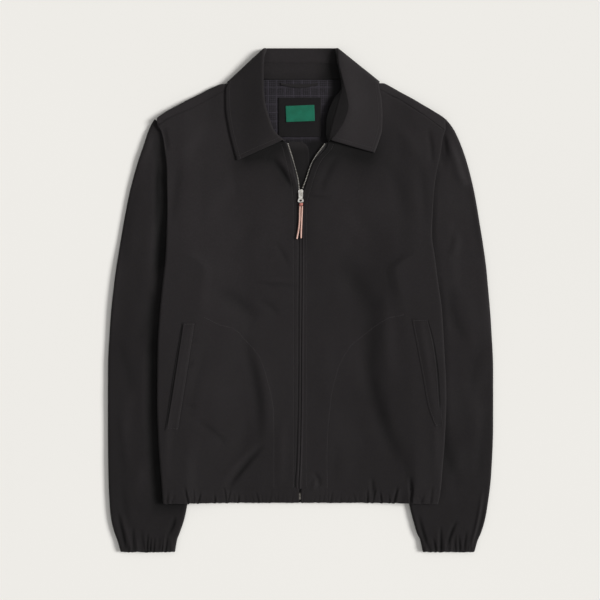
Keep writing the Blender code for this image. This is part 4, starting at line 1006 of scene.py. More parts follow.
def near_line(x, y, line):
    """Distance from points to a line of points, and how far along it the nearest place is."""
    best, along = np.full(x.shape, 1e9), np.zeros(x.shape)
    start = 0.0
    for (x0, y0), (x1, y1) in zip(line, line[1:]):
        dx, dy = x1 - x0, y1 - y0
        size = math.hypot(dx, dy)
        t = np.clip(((x - x0) * dx + (y - y0) * dy) / (size * size), 0.0, 1.0)
        away = np.hypot(x - x0 - t * dx, y - y0 - t * dy)
        closer = away < best
        best = np.where(closer, away, best)
        along = np.where(closer, start + t * size, along)
        start += size
    return best, along

def on_line(x, y, line, width):
    """1 on a line of points, falling to 0 beside it."""
    return bell(near_line(x, y, line)[0], width)


def creases(x, y, rows):
    """Soft folds, each swelling and fading along its line."""
    total = np.zeros(x.shape)
    for x0, y0, x1, y1, bow, height, width in rows:
        length = math.hypot(x1 - x0, y1 - y0)
        ux, uy = (x1 - x0) / length, (y1 - y0) / length
        along = np.clip(((x - x0) * ux + (y - y0) * uy) / length, 0.0, 1.0)
        across = (y - y0) * ux - (x - x0) * uy - bow * 4 * along * (1 - along)
        total += height * np.sin(math.pi * along) ** 0.8 * bell(across, width)
    return total


def ripple(x, y, seed, size):
    """Low uneven waves, the same each run, about size mm long."""
    rng = np.random.default_rng(seed)
    total = np.zeros(x.shape)
    for _ in range(RIPPLE_WAVES):
        turn, phase = rng.uniform(0, 2 * math.pi, 2)
        pitch = size * rng.uniform(0.7, 1.6)
        total += np.sin(2 * math.pi * (x * math.cos(turn) + y * math.sin(turn)) / pitch + phase)
    return total / RIPPLE_WAVES


def sewn(x, y, lines, deep=0.32, wide=0.9, puckers=0.14):
    """Grooves where stitches pull the cloth in, and the small waves across them."""
    total = np.zeros(x.shape)
    for k, line in enumerate(lines):
        away, along = near_line(x, y, line)
        rng = np.random.default_rng(PUCKER_SEED + k)
        phase = along / PUCKER_PITCH * 2 * math.pi
        wave = np.sin(phase + 1.7 * np.sin(phase * 0.23 + rng.uniform(0, 6))) * 0.6
        wave += np.sin(phase * 0.43 + rng.uniform(0, 6)) * 0.4
        total -= deep * bell(away, wide)
        total += puckers * wave * bell(away, PUCKER_REACH)
    return total


def fold_shade_and_clouding(x, y, relief):
    """Painted shade down in the cloth's folds and painted light on their ridges, and a little
    random clouding.
    """
    return np.clip(0.34 * relief, -0.70, 0.30) + 0.12 * ripple(x, y, 71, 120.0)

def mirror_line(side, line):
    return [(SIGN[side] * x, y) for x, y in line]

def edge_line(side, data, column, places, offset=0.0):
    """A line along an edge that a table gives, or beside it."""
    return mirror_line(side, [(read(data, column, y) + offset, y) for y in places])


# The stitches that hold each pocket bag to its front.
BAG_LINES = {side: mirror_line(side, line) for side, line in {
    "left": [(154, -27), (126, -40), (109, -44), (98, -52), (90, -62), (76, -76), (65, -91),
             (57, -111), (51, -134), (46, -153), (43, -172), (42, -201), (42, -260), (42, -301)],
    "right": [(166, -23), (141, -28), (118, -43), (97, -60), (81, -73), (72, -87), (62, -107),
              (54, -134), (50, -154), (48, -174), (45, -201), (43, -246), (44, -301)],
}.items()}
ZIP_STITCHES = {"left": 8.4, "right": 9.2}      # from each front's edge to its stitches by the zip
EDGE_WEAR = 0.8                                 # from that edge to the middle of its worn strip


def beside_zip(side, offset):
    return edge_line(side, FRONT_EDGE, side, spread((-301.0, 150.0, 252.0), (12, 16)), offset)


def welt_stitches(side):
    shape = POCKETS[side]
    places = spread((shape["y"][0] + 1.5, shape["y"][-1] - 1.5), (8,))
    return edge_line(side, shape, "inner", places, 1.6)


# Shade by height, painted in the cloth's colour: on the fronts, on the sleeves, and on the strip
# of each sleeve that lies against the body.
FRONT_SHADE = table(
    "y left right",
    (-326, -0.42, -0.34), (-250, -0.42, -0.36), (-150, -0.28, -0.34), (0, -0.12, -0.24),
    (100, 0, -0.10), (250, 0.03, 0), (350, 0.05, 0.05),
)
SLEEVE_SHADE = table(
    "y left right",
    (-404, -0.66, -0.58), (-330, -0.66, -0.54), (-190, -0.60, -0.52), (-120, -0.52, -0.28),
    (0, -0.46, -0.08), (140, -0.30, 0.02), (291, -0.10, 0.05),
)
STRIP_SHADE = table(
    "y left right",
    (-348, 0, 0), (-330, 0.4, 0), (-300, 0.95, 0.1), (-90, 1, 0.25), (-40, 0.8, 0.35),
    (30, 0.5, 0.35), (48, 0.9, 0.2), (62, 1.5, 0.25), (120, 1.5, 0.6), (190, 1.2, 0.35),
    (235, 0.9, 0.2), (270, 0.35, 0.3),
)


def gather_relief(x, y, gathers, seam, rise, low):
    """Gathers that stand in an elastic casing and run on above it, each to its own height."""
    total = np.zeros(x.shape)
    for k, (place, deep, width) in enumerate(gathers):
        top = seam + rise * (-0.5 + 1.5 * math.sin(2.3 * k + 0.7) ** 2) * deep
        drift = place + 0.22 * (y - seam) * math.sin(1.9 * k + 0.4)
        fade = smooth_array(-y, -top, -(top - 14.0))
        fade = fade * (0.75 + 0.25 * smooth_array(-y, -seam, -low))
        narrow = width * (0.42 + 0.25 * math.sin(3.1 * k) ** 2)
        total -= 1.25 * deep * fade * bell(x - drift, narrow)
        total += 0.55 * deep * fade * bell(x - drift - 2.1 * narrow, 1.1 * narrow)
    return total


def small_pleats(x, y, seam, low, pitch, seed):
    """Fine irregular pleats that the elastic draws up, strongest at the free edge."""
    rng = np.random.default_rng(seed)
    total = np.zeros(x.shape)
    for k in range(int(460 / pitch)):
        place = -230.0 + (k + rng.uniform(-0.4, 0.4)) * pitch
        top = low + (seam - low) * rng.uniform(0.35, 1.25)
        width, deep = rng.uniform(0.8, 1.8), rng.uniform(0.2, 0.8)
        lean = rng.uniform(-0.2, 0.2)
        total -= deep * smooth_array(-y, -top, -low) * bell(x - place - lean * (y - low), width)
    return total


# Folds of the cloth: a line from start to end that bows sideways, its height (troughs are
# negative) and its half width.
FRONT_CREASES = {
    "left": [
        (-47, 229, -13, 180, 2, -1.5, 3.6), (-38, 232, -10, 196, 2, 0.8, 4.5),
        (-136, 18, -70, -30, 4, -1.3, 11), (-78, 29, -3, 24, -1, -0.9, 3),
        (-78, 35, -6, 31, -1, 0.5, 4),
        (-68, 0, -34, -22, 2, -0.8, 6), (-93, -56, -67, -232, 9, -1.5, 9),
        (-76, -70, -52, -220, 9, 0.6, 10),
        (-58, -232, -118, -304, -3, -2, 4.5), (-70, -232, -128, -296, -3, 0.8, 6),
        (-170, -190, -118, -232, 3, -1, 4.5), (-42, 96, -18, 50, 2, -0.6, 5),
        (-95, 205, -150, 120, -8, 0.6, 16),
        (-190, 235, -206, 120, -3, -0.9, 8),
        (-150, 290, -196, 200, -6, 0.7, 12), (-176, -30, -206, -200, -3, 0.6, 7),
        (-150, -60, -178, -220, -4, -0.6, 9), (-208, -150, -214, -290, -2, 0.7, 7),
        (-112, 232, -104, 160, 3, -0.6, 10), (-26, -180, -30, -300, -2, 0.6, 8),
        (-219, 278, -214, 238, 0, -1.1, 4.5), (-60, 130, -110, 60, -6, -0.5, 14),
        (-176, -60, -165, -66, 0, -0.6, 2.4), (-183, -108, -170, -96, 0, -0.8, 2.4),
        (-186, -165, -164, -172, 0, -0.8, 2.2),
    ],
    "right": [
        (62, 80, 118, -22, -3, -1.5, 17), (117, 6, 113, -150, -4, -1.5, 15),
        (112, -118, 168, -272, -9, -1.6, 13), (142, 10, 150, -140, -4, 1, 12),
        (88, 10, 92, -150, 3, 0.5, 12), (14, 169, 50, 165, -1, -1, 2.8),
        (16, 174, 48, 170, -1, 0.5, 3.5),
        (64, 235, 30, 168, -5, -0.9, 6), (130, 232, 170, 130, 6, -0.7, 12),
        (205, 276, 211, 218, 2, -1.1, 4), (150, 290, 198, 206, 6, 0.7, 12),
        (186, 240, 200, 120, 3, -0.8, 9), (186, -20, 214, -190, 3, 0.6, 7),
        (60, -220, 56, -296, -2, -0.5, 9), (212, -150, 218, -290, 2, 0.7, 7),
        (172, 30, 130, -10, -4, 0.25, 12), (22, -276, 31, -300, 2, -1, 4),
        (28, -284, 20, -306, 0, 0.7, 4),
        (60, 150, 110, 70, 6, 0.5, 14), (176, -282, 183, -324, -1, -1.6, 3),
        (115, -284, 118, -322, 0, -1.2, 3),
    ],
}
SLEEVE_CREASES = {
    "left": [
        (-236, 276, -262, 210, 2, 0.8, 6), (-222, 250, -230, 120, -3, -1, 7),
        (-262, 190, -286, 60, -5, -0.7, 9), (-236, 140, -246, 10, -4, 0.7, 10),
        (-290, 90, -300, -60, -3, 0.6, 8), (-240, 20, -264, -70, 8, -0.8, 9),
        (-296, -60, -272, -160, 6, -0.7, 9), (-252, -80, -258, -210, 6, 0.7, 11),
        (-268, -130, -282, -260, -6, 0.7, 10), (-300, -180, -286, -290, 4, -0.6, 8),
        (-244, -250, -266, -330, -4, 0.6, 10), (-286, -290, -276, -366, -3, -0.6, 6),
    ],
    "right": [
        (236, 270, 262, 200, -2, 0.9, 6), (232, 266, 227, 220, 1, -2, 4.5),
        (249, 212, 269, 184, 0, 1.3, 6), (246, 112, 239, 72, 0, -0.7, 6),
        (255, 112, 250, 70, 0, 0.4, 6),
        (264, 186, 288, 60, 5, -0.7, 9), (238, 136, 248, 6, 4, 0.6, 10),
        (290, 84, 300, -64, 3, 0.6, 8), (240, 24, 266, -66, -8, -0.9, 9),
        (298, -60, 274, -160, -6, -0.7, 9), (238, -84, 246, -214, -6, 0.6, 11),
        (270, -126, 284, -256, 6, 0.7, 10), (300, -176, 288, -290, -4, -0.6, 8),
        (232, -206, 256, -304, -5, -0.9, 9),
    ],
}
# Folds that fan out from the elastic cuffs, over the casing and up the sleeve.
CUFF_CREASES = {
    "left": [
        (-293, -340, -273, -416, -2, -2, 3.2), (-286, -340, -266, -412, -2, 1, 4),
        (-269, -362, -268, -416, 0, -1.5, 2.6), (-256, -366, -251, -416, 0, -1, 3.2),
        (-245, -373, -247, -420, 0, -1.9, 2), (-240, -380, -242, -424, 0, -1.6, 1.6),
        (-234, -380, -237, -424, 0, -1.4, 1.8), (-213, -376, -219, -424, 0, -1.5, 2),
        (-217, -374, -222, -424, 0, 1, 1.8), (-201, -346, -213, -378, 2, -2, 3),
        (-226, -378, -229, -420, 0, -0.8, 2.4), (-281, -378, -277, -420, 0, 0.8, 2),
        (-262, -380, -260, -424, 0, 0.9, 2.2), (-207, -380, -205, -420, 0, 0.8, 2.2),
    ],
    "right": [
        (190, -344, 211, -410, -2, -2, 3), (213, -380, 222, -420, 0, -1.3, 2.2),
        (226, -362, 226, -424, 0, -2, 2.2), (221, -366, 221, -424, 0, 0.8, 2.6),
        (252, -354, 237, -394, -2, -2, 2.6), (250, -374, 247, -410, 0, -0.9, 2.4),
        (255, -376, 258, -424, 0, -1.7, 1.8), (267, -370, 262, -408, 0, -1.4, 2.2),
        (293, -306, 270, -408, 3, 1.8, 2.6), (299, -310, 276, -404, 3, -1.3, 3.4),
        (233, -382, 234, -424, 0, 0.9, 2.4), (243, -380, 243, -424, 0, 0.8, 2.2),
        (204, -380, 203, -424, 0, 0.8, 2.4), (275, -384, 272, -424, 0, -1, 2),
    ],
}


# ---------------------------------------------------------------- body
# Steps of each stretch of a row: four out to the side fold, round it, and the flange under it.
FRONT_COUNTS = (36, 44, 12, 16, 14, 8)
HEM_COUNTS = (74, 72, 24, 16, 12, 8)
BACK_COUNTS = (8, 10, 8, 4, 10, 6)


def body_rows():
    lower = spread((HEM_SEAM + SEAM, -270.0, FLAT_ROWS_END), (7, 40))
    return lower, [k / 24 for k in range(1, 25)]

# The closed zip from above: the groove left of the covered teeth, and the dark join right of them.
ZIP_COVER = table(
    "y groove join",
    (-303, -8.6, -2.2), (-290, -8.2, -2), (-271, -6.4, -0.8), (-223, -4.5, 0.8), (-175, -3.2, 1.7),
    (-80, -2.4, 2.1), (-20, -2.4, 2.6), (60, -2, 3), (150, -1.8, 3),
)
JOIN_HALF = 0.7


def zip_relief(side, x, y):
    """Height of the cloth's ridges and grooves along the closed zip, and their painted light and
    shade.
    """
    closed = 1 - smooth_array(y, 120.0, 158.0)
    join = column_at(ZIP_COVER, "join", y)
    if side == "left":
        groove = bell(x - column_at(ZIP_COVER, "groove", y), 1.0)
        ridge = bell(x - join + 2.3, 1.2)
        return (0.4 * ridge - 0.9 * groove) * closed, (0.3 * ridge - 1.1 * groove) * closed
    ridge, second = bell(x - join - 2.4, 1.0), bell(x - 10.8, 1.2)
    return (0.4 * ridge + 0.2 * second) * closed, (0.9 * ridge + 0.15 * second) * closed


def close_zip(side, grid):
    """Draw the cloth at a front's edge over the teeth, as far as the zip is closed."""
    x, y = grid[..., 0], grid[..., 1]
    start = x[:, :1].copy()
    near = (1 - np.clip(np.abs(x - start) / 16.0, 0.0, 1.0)) ** 2
    move = column_at(ZIP_COVER, "join", y) + SIGN[side] * JOIN_HALF - start
    move *= 1 - smooth_array(y, 146.0, 165.0)
    opened = smooth_array(y, 168.0, 185.0) * (1 - smooth_array(y, 245.0, 256.0))
    grid[..., 0] += (move + SIGN[side] * 0.7 * opened) * near


def crisp(side, grid, first, count):
    """Press the side fold flatter: its turn stays nearly level up to a tight edge."""
    for row in grid:
        turn, top, low = row[first], row[first, 2], row[first + count, 2]
        radius, centre = (top - low) / 2, (top + low) / 2
        if radius < 0.5:
            continue
        for k in range(1, count):
            a = math.pi / 2 - math.pi * k / count
            rise = math.copysign(abs(math.sin(a)) ** 0.55, math.sin(a))
            row[first + k, 0] = turn[0] + SIGN[side] * radius * math.cos(a) ** 0.55
            row[first + k, 2] = centre + radius * rise


def front_folds(side, x, y):
    """A front's creases, and its whole relief with the soft ripples between them."""
    deep = creases(x, y, FRONT_CREASES[side])
    soft = 0.8 * ripple(x, y, {"left": 3, "right": 4}[side], 95.0)
    return deep, 1.7 * deep + soft + 0.22 * ripple(x, y, 8, 30.0)


def hem_gathers(x, y):
    return (gather_relief(x, y, HEM_GATHERS, HEM_SEAM, 9.0, HEM_BOTTOM)
            + small_pleats(x, y, HEM_SEAM, HEM_BOTTOM, 6.5, 81))

LAP = 2.6               # reach of a casing's upper edge over the cloth above


def casing_lap(y, seam):
    """A casing's upper edge lies flush on the cloth above it and melts into it."""
    return 0.05 - 0.22 * smooth_array(y, seam + 0.6, seam + LAP)

def denser_edge(grid, count, reach):
    """The same cloth with closer columns, evenly spaced, up to reach from its first edge."""
    away = np.abs(grid[..., 0] - grid[:, :1, 0])
    keep = int(np.argmax(away.min(axis=0) > reach))
    made = np.empty((grid.shape[0], count + grid.shape[1], 3))
    made[:, count + keep:] = grid[:, keep:]
    for j in range(grid.shape[0]):
        places = spread((0.0, reach, away[j, keep]), (count, keep))[:-1]
        for axis in range(3):
            made[j, :count + keep, axis] = np.interp(places, away[j, :keep + 1],
                                                     grid[j, :keep + 1, axis])
    return made


# Painted shadow on a front under its collar leaf, and painted shade in the fold by the open zip:
# each line in mm, how dark it is and how far it reaches.
CHEST_SHADES = {
    "left": (([(-26.5, 255.1), (-84.0, 231.0)], 2.2, 14.0),
             ([(-62.0, 238.0), (-42.0, 222.0), (-22.0, 192.0)], 1.1, 9.0)),
    "right": (([(57.6, 256.4), (105.1, 239.4)], 2.6, 22.0),),
}
# How dark the painted shade beside the open zip is, and how far it reaches.
BESIDE_ZIP = {"left": (0.9, 9.0), "right": (1.0, 20.0)}


def chest_shade(side, x, y):
    """Painted shadow close under the collar's leaf, and painted shade beside the zip's top."""
    zip_line = edge_line(side, ZIP_LINE, side, spread((105.0, 250.0), (12,)))
    total = np.zeros(x.shape)
    for line, deep, reach in (*CHEST_SHADES[side], (zip_line, *BESIDE_ZIP[side])):
        total -= deep * np.exp(-near_line(x, y, line)[0] / reach)
    return total


def front_piece(side):
    lower, shares = body_rows()
    rows = [front_row(side, y, read(FRONT_EDGE, side, y), y, FRONT_COUNTS) for y in lower]
    for share in shares:
        y_side = mix(FLAT_ROWS_END, ARMHOLE_TOP[side], share)
        y_inner = mix(FLAT_ROWS_END, NECK_POINT, share)
        inner = read(FRONT_EDGE, side, y_inner)
        rows.append(front_row(side, y_side, inner, y_inner, FRONT_COUNTS))
    grid = grid_of(rows)
    crisp(side, grid, sum(FRONT_COUNTS[:4]), FRONT_COUNTS[4])
    grid = denser_edge(finer_rows(grid, 3), 30, 15.0)
    close_zip(side, grid)
    x, y = grid[..., 0], grid[..., 1]
    turned = grid.shape[1] - sum(FRONT_COUNTS[4:]) - 1
    top = 1.0 - np.clip((np.arange(grid.shape[1])[None, :] - turned) / 6.0, 0.0, 1.0)
    deep, folds = front_folds(side, x, y)
    gathered = hem_gathers(x, y)
    folds *= top
    room = 3.0 - 2.5 * smooth_array(np.abs(x), 130.0, 185.0)
    bag, stitches = BAG_LINES[side], beside_zip(side, ZIP_STITCHES[side])
    ridges, zip_light_and_shade = zip_relief(side, x, y)
    outer = np.maximum(np.minimum(folds + room, 0.0), -1.2) + np.maximum(gathered, -1.3) * top
    outer += sewn(x, y, [stitches]) * top + sewn(x, y, [bag], 0.16, 0.8, 0.08) * top + ridges
    wear = 0.22 * on_line(x, y, bag, 0.8) + 0.3 * on_line(x, y, beside_zip(side, EDGE_WEAR), 1.0)
    # Painted shade and light: in the folds, down the front, at the zip's ridges and groove, under
    # the collar; with random clouding.
    tone = (fold_shade_and_clouding(x, y, deep + 0.6 * gathered) + column_at(FRONT_SHADE, side, y) + zip_light_and_shade
            + chest_shade(side, x, y))
    return shell("front_panel_" + side, grid, SHELL / 2, SIGN[side], "twill", "twill",
                 ["front_" + side], shift=np.maximum(folds, -room), outer=outer, wear=wear * top,
                 tone=tone * top, rests_on=["back"])


def back_piece():
    lower, shares = body_rows()
    rows = [back_row(0.0, y, BACK_COUNTS) for y in lower[::2] + lower[-1:]]
    rows += [back_row(share, FLAT_ROWS_END + 1.0, BACK_COUNTS) for share in shares]
    grid = finer_rows(grid_of(rows), 2)
    return shell("back_panel", grid, SHELL / 2, -1.0, "twill", "twill", ["back"])


def front_top(side, x):
    """The front's upper edge, which the yoke's edge covers."""
    radius, _ = front_turn(ARMHOLE_TOP[side])
    start, finish = read(FRONT_EDGE, side, NECK_POINT), edge(side, ARMHOLE_TOP[side])
    share = min(1.0, max(0.0, (x - start) / (finish - radius - SHELL / 2 - start)))
    return front_seam_line(side, mix(start, finish, share))


def yoke_piece(side):
    neck, shoulder = read(FRONT_EDGE, side, NECK_POINT), edge(side, ARMHOLE_TOP[side])
    rows = []
    for x in [neck + 2.5] + spread((107.0, 154.0, 192.0, shoulder), (10, 10, 12)):
        fold = read(SHOULDER, side, x, "x")
        front_y = front_top(side, x) - 0.5
        back_y = fold - YOKE_BACK + YOKE_GAP
        top = front_mid(side, x, front_seam_line(side, x) + YOKE_GAP)
        low = mix(back_mid(side, min(x, 196.0), back_y), FRONT_FLANGE, smooth(x, 193.0, 206.0))
        radius = (top - low) / 2
        centre = fold - (radius + SHELL / 2) * SHOULDER_SLOPE
        row = [(mix(front_y, centre, k / 6), top + 0.12) for k in range(6)]
        row += [(centre + radius * SHOULDER_SLOPE * math.cos(a),
                 (top + low) / 2 + radius * math.sin(a))
                for a in (math.radians(90 - 15 * k) for k in range(13))]
        row += [(mix(centre, back_y, k / 4), low) for k in range(1, 5)]
        rows.append([(SIGN[side] * x, y, z) for y, z in row])
    grid = finer_rows(grid_of(rows), 2)
    x, y = grid[..., 0], grid[..., 1]
    upper = smooth_array(grid[..., 2], 6.0, 9.0)
    seam = [(SIGN[side] * x_at, front_top(side, x_at)) for x_at in spread((86.0, 230.0), (24,))]
    # Painted light on the yoke's upper side and painted shade along its seam; on the left both are
    # weaker, growing towards the shoulder's end.
    if side == "right":
        drawn, painted_light = upper, 0.4
    else:
        far = smooth_array(-x, 175.0, 200.0)
        drawn, painted_light = upper * (0.25 + 0.75 * far), 0.05 + 0.2 * far
    return shell("yoke_cloth_" + side, grid, SHELL / 2, -SIGN[side], "twill", "twill",
                 ["yoke_" + side], shift=0.15 * ripple(x, y, 21, 30.0) * upper,
                 outer=-0.5 * on_line(x, y, seam, 0.8) * drawn,
                 tone=painted_light - 1.3 * on_line(x, y, seam, 0.9) * drawn)


def hem_front_piece(side):
    grid = grid_of([front_row(side, y, read(FRONT_EDGE, side, y), y, HEM_COUNTS)
                    for y in spread((HEM_BOTTOM, HEM_SEAM, HEM_SEAM + LAP), (15, 4))])
    turn = sum(HEM_COUNTS[:4])
    crisp(side, grid, turn, HEM_COUNTS[4])
    x, y = grid[..., 0], grid[..., 1]
    share = 1 - smooth_array(np.arange(grid.shape[1])[None, :] + 0.0 * x, turn + 2.0, turn + 7.0)
    deep, folds = front_folds(side, x, y)
    gathered = hem_gathers(x, y)
    folds *= smooth_array(y, HEM_BOTTOM + 4.0, HEM_SEAM)
    low_edge = 1 - smooth_array(y, HEM_BOTTOM, HEM_BOTTOM + 7.0)
    swell = 0.7 * (1 - smooth_array(y, HEM_SEAM - 10.0, HEM_SEAM)) * smooth_array(
        y, HEM_BOTTOM, HEM_BOTTOM + 7.0)
    drawn = 0.5 * np.clip(gathered, -1.5, 0.5) + 0.7 * ripple(x, 0 * x, 62, 9.0)
    grid[..., 1] += drawn * low_edge * share
    outer = (gathered + swell + casing_lap(y, HEM_SEAM)) * share
    bottom = mirror_line(side, [(0, HEM_BOTTOM), (230, HEM_BOTTOM)])
    return shell("hem_casing_" + side, grid, SHELL / 2, SIGN[side], "twill", "twill",
                 ["hem_" + side], shift=np.maximum(folds, -1.7) * share,
                 outer=np.maximum(outer, -1.4), wear=0.2 * on_line(x, y, bottom, 1.2) * share,
                 tone=(fold_shade_and_clouding(x, y, deep + 0.6 * gathered) + column_at(FRONT_SHADE, side, y)) * share)


def hem_back_piece():
    rows = [back_row(0.0, y, BACK_COUNTS) for y in spread((HEM_BOTTOM, HEM_SEAM - SEAM), (8,))]
    return shell("hem_casing_back", grid_of(rows), SHELL / 2, -1.0, "twill", "twill", ["hem_back"])


WELT_SLOPE = {"left": 5.0, "right": 15.0}   # how far in each welt's inner edge starts to sink
SEWN_WELT = {"left": 1.0, "right": 0.3}     # how deep the stitches along each welt pull in
OPENING = {"left": 0.0, "right": 0.14}      # where a pocket opens, as a part of its welt's length


def welt_piece(side):
    """The pocket's welt: its inner edge melts into the front, its outer edge is the opening."""
    shape = POCKETS[side]
    rows = []
    for y in spread((shape["y"][0], shape["y"][-1]), (80,)):
        inner, outer = read(shape, "inner", y), read(shape, "outer", y)
        rows.append([(SIGN[side] * x, y, front_skin(side, x, y) + SEAM + WELT / 2)
                     for x in spread((inner, outer), (44,))])
    grid = grid_of(rows)
    x, y = grid[..., 0], grid[..., 1]
    from_inner, from_outer = np.abs(x - x[:, :1]), np.abs(x - x[:, -1:])
    along = np.linspace(0.0, 1.0, grid.shape[0])[:, None]
    opened = smooth_array(along, OPENING[side], OPENING[side] + 0.08)
    opened = opened * (1 - smooth_array(along, 0.97, 1.0))
    ends = np.minimum(along, 1 - along) * (shape["y"][-1] - shape["y"][0])
    wide = 0.9 + 1.2 * np.sin(math.pi * along ** 0.8)
    slit = opened * (1 - smooth_array(from_outer, wide, wide + 0.8))
    lip = 0.25 * opened * bell(from_outer - wide - 1.8, 0.9)
    sunk = -np.maximum(1 - smooth_array(from_inner, 0.3, WELT_SLOPE[side]),
                       1 - smooth_array(ends, 0.0, 3.0))
    deep, folds = front_folds(side, x, y)
    outer = SEWN_WELT[side] * sewn(x, y, [welt_stitches(side)], 0.18, 0.7, 0.10)
    # Painted shade in the opening's slit and painted light on the lip beside it, with the fronts'
    # painted shade and light.
    tone = fold_shade_and_clouding(x, y, deep) + column_at(FRONT_SHADE, side, y) - 1.5 * slit + lip
    return shell("welt_" + side, grid, WELT / 2, SIGN[side], "twill", "twill",
                 ["pocket_welt_" + side], shift=np.maximum(folds, -1.7) + 0.28 * sunk,
                 outer=np.maximum(outer + lip + sunk - 1.0 * slit, 0.2 - WELT), tone=tone,
                 wear=0.12 * (from_outer < 0.6), rim=0.3)


# ---------------------------------------------------------------- sleeves
# How far from the body's edge the strip of painted shade on each sleeve starts and ends to fade.
BESIDE = {"left": (12.0, 25.0), "right": (0.5, 9.0)}


def sleeve_folds(side, x, y):
    """A sleeve's creases and the fans above its cuff, and its whole relief with the ripples."""
    fans = creases(x, y, CUFF_CREASES[side])
    fans += small_pleats(x - 250.0 * SIGN[side], y, CUFF_SEAM, CUFF_BOTTOM, 5.0, 91)
    deep = 1.4 * creases(x, y, SLEEVE_CREASES[side]) + 1.2 * fans
    soft = 0.5 * ripple(x, y, {"left": 31, "right": 32}[side], 75.0)
    return deep, deep + soft + 0.2 * ripple(x, y, 33, 24.0)


def sleeve_piece(side):
    ys = spread((CUFF_SEAM + SEAM, -330.0, 56.0, 100.0, 291.0), (18, 38, 8, 22))
    grid = finer_rows(grid_of([sleeve_row(side, y, (84, 12, 12)) for y in ys]), 2)
    x, y = grid[..., 0], grid[..., 1]
    upper = smooth_array(grid[..., 2], 4.2, 7.0)
    deep, folds = sleeve_folds(side, x, y)
    # Painted shade on the sleeve: the strip beside the body, which also sinks, and a patch under
    # the body's lower corner.
    away = SIGN[side] * x - column_at(BODY_EDGE, side, y)
    strip = column_at(STRIP_SHADE, side, y) * (1 - smooth_array(away, *BESIDE[side]))
    corner = np.exp(-((x + 212.0) / 30.0) ** 2 - ((y + 326.0) / 15.0) ** 2)
    tone = fold_shade_and_clouding(x, y, deep) + column_at(SLEEVE_SHADE, side, y) - strip - 0.45 * corner
    return shell("sleeve_cloth_" + side, grid, SLEEVE / 2, SIGN[side], "twill_sleeve_shaded", "twill",
                 ["sleeve_" + side], shift=np.maximum(folds - 1.5 * strip, -2.6) * upper,
                 tone=tone * upper)


def cuff_piece(side):
    half, centre = (SLEEVE_HEIGHT - SLEEVE) / 2, SLEEVE_HEIGHT / 2
    rows = []
    for y in spread((CUFF_BOTTOM, CUFF_SEAM, CUFF_SEAM + LAP), (13, 4)):
        inner = read(SLEEVE_EDGE, "inner_" + side, y) + SLEEVE / 2 + half
        outer = read(SLEEVE_EDGE, "outer_" + side, y) - SLEEVE / 2 - half
        ring = [(x, centre + half) for x in spread((inner, outer), (110,))]
        ring += arc(outer, centre, half, 90, -90, 10)
        ring += [(x, centre - half) for x in spread((outer, inner), (24,))[1:]]
        ring += arc(inner, centre, half, -90, -270, 10)[:-1]
        rows.append([(SIGN[side] * x, y, z) for x, z in ring])
    grid = grid_of(rows)
    x, y = grid[..., 0], grid[..., 1]
    share = smooth_array(grid[..., 2], centre, centre + 3.0)
    low_edge = 1 - smooth_array(y, CUFF_BOTTOM, CUFF_BOTTOM + 6.0)
    deep, folds = sleeve_folds(side, x, y)
    swell = 0.4 * (1 - smooth_array(y, CUFF_SEAM - 12.0, CUFF_SEAM - 0.5)) - 0.5 * low_edge
    outer = (folds + swell + casing_lap(y, CUFF_SEAM)) * share
    drawn = 0.5 * np.clip(deep, -1.5, 0.6) + 0.6 * ripple(x, 0 * x, 64, 7.0)
    grid[..., 1] += drawn * low_edge * share
    return shell("cuff_casing_" + side, grid, SLEEVE / 2, SIGN[side], "twill_sleeve_shaded", "twill",
                 ["cuff_" + side], outer=np.maximum(outer, -1.9), wear=0.15 * low_edge * share,
                 tone=(fold_shade_and_clouding(x, y, deep) + column_at(SLEEVE_SHADE, side, y)) * share, ring=True)


# ---------------------------------------------------------------- collar
LEAF_STITCHES = 6.0     # from the leaf's free edge to its stitches
LEAF_FACE = 14          # a section's first point of the leaf's upper face


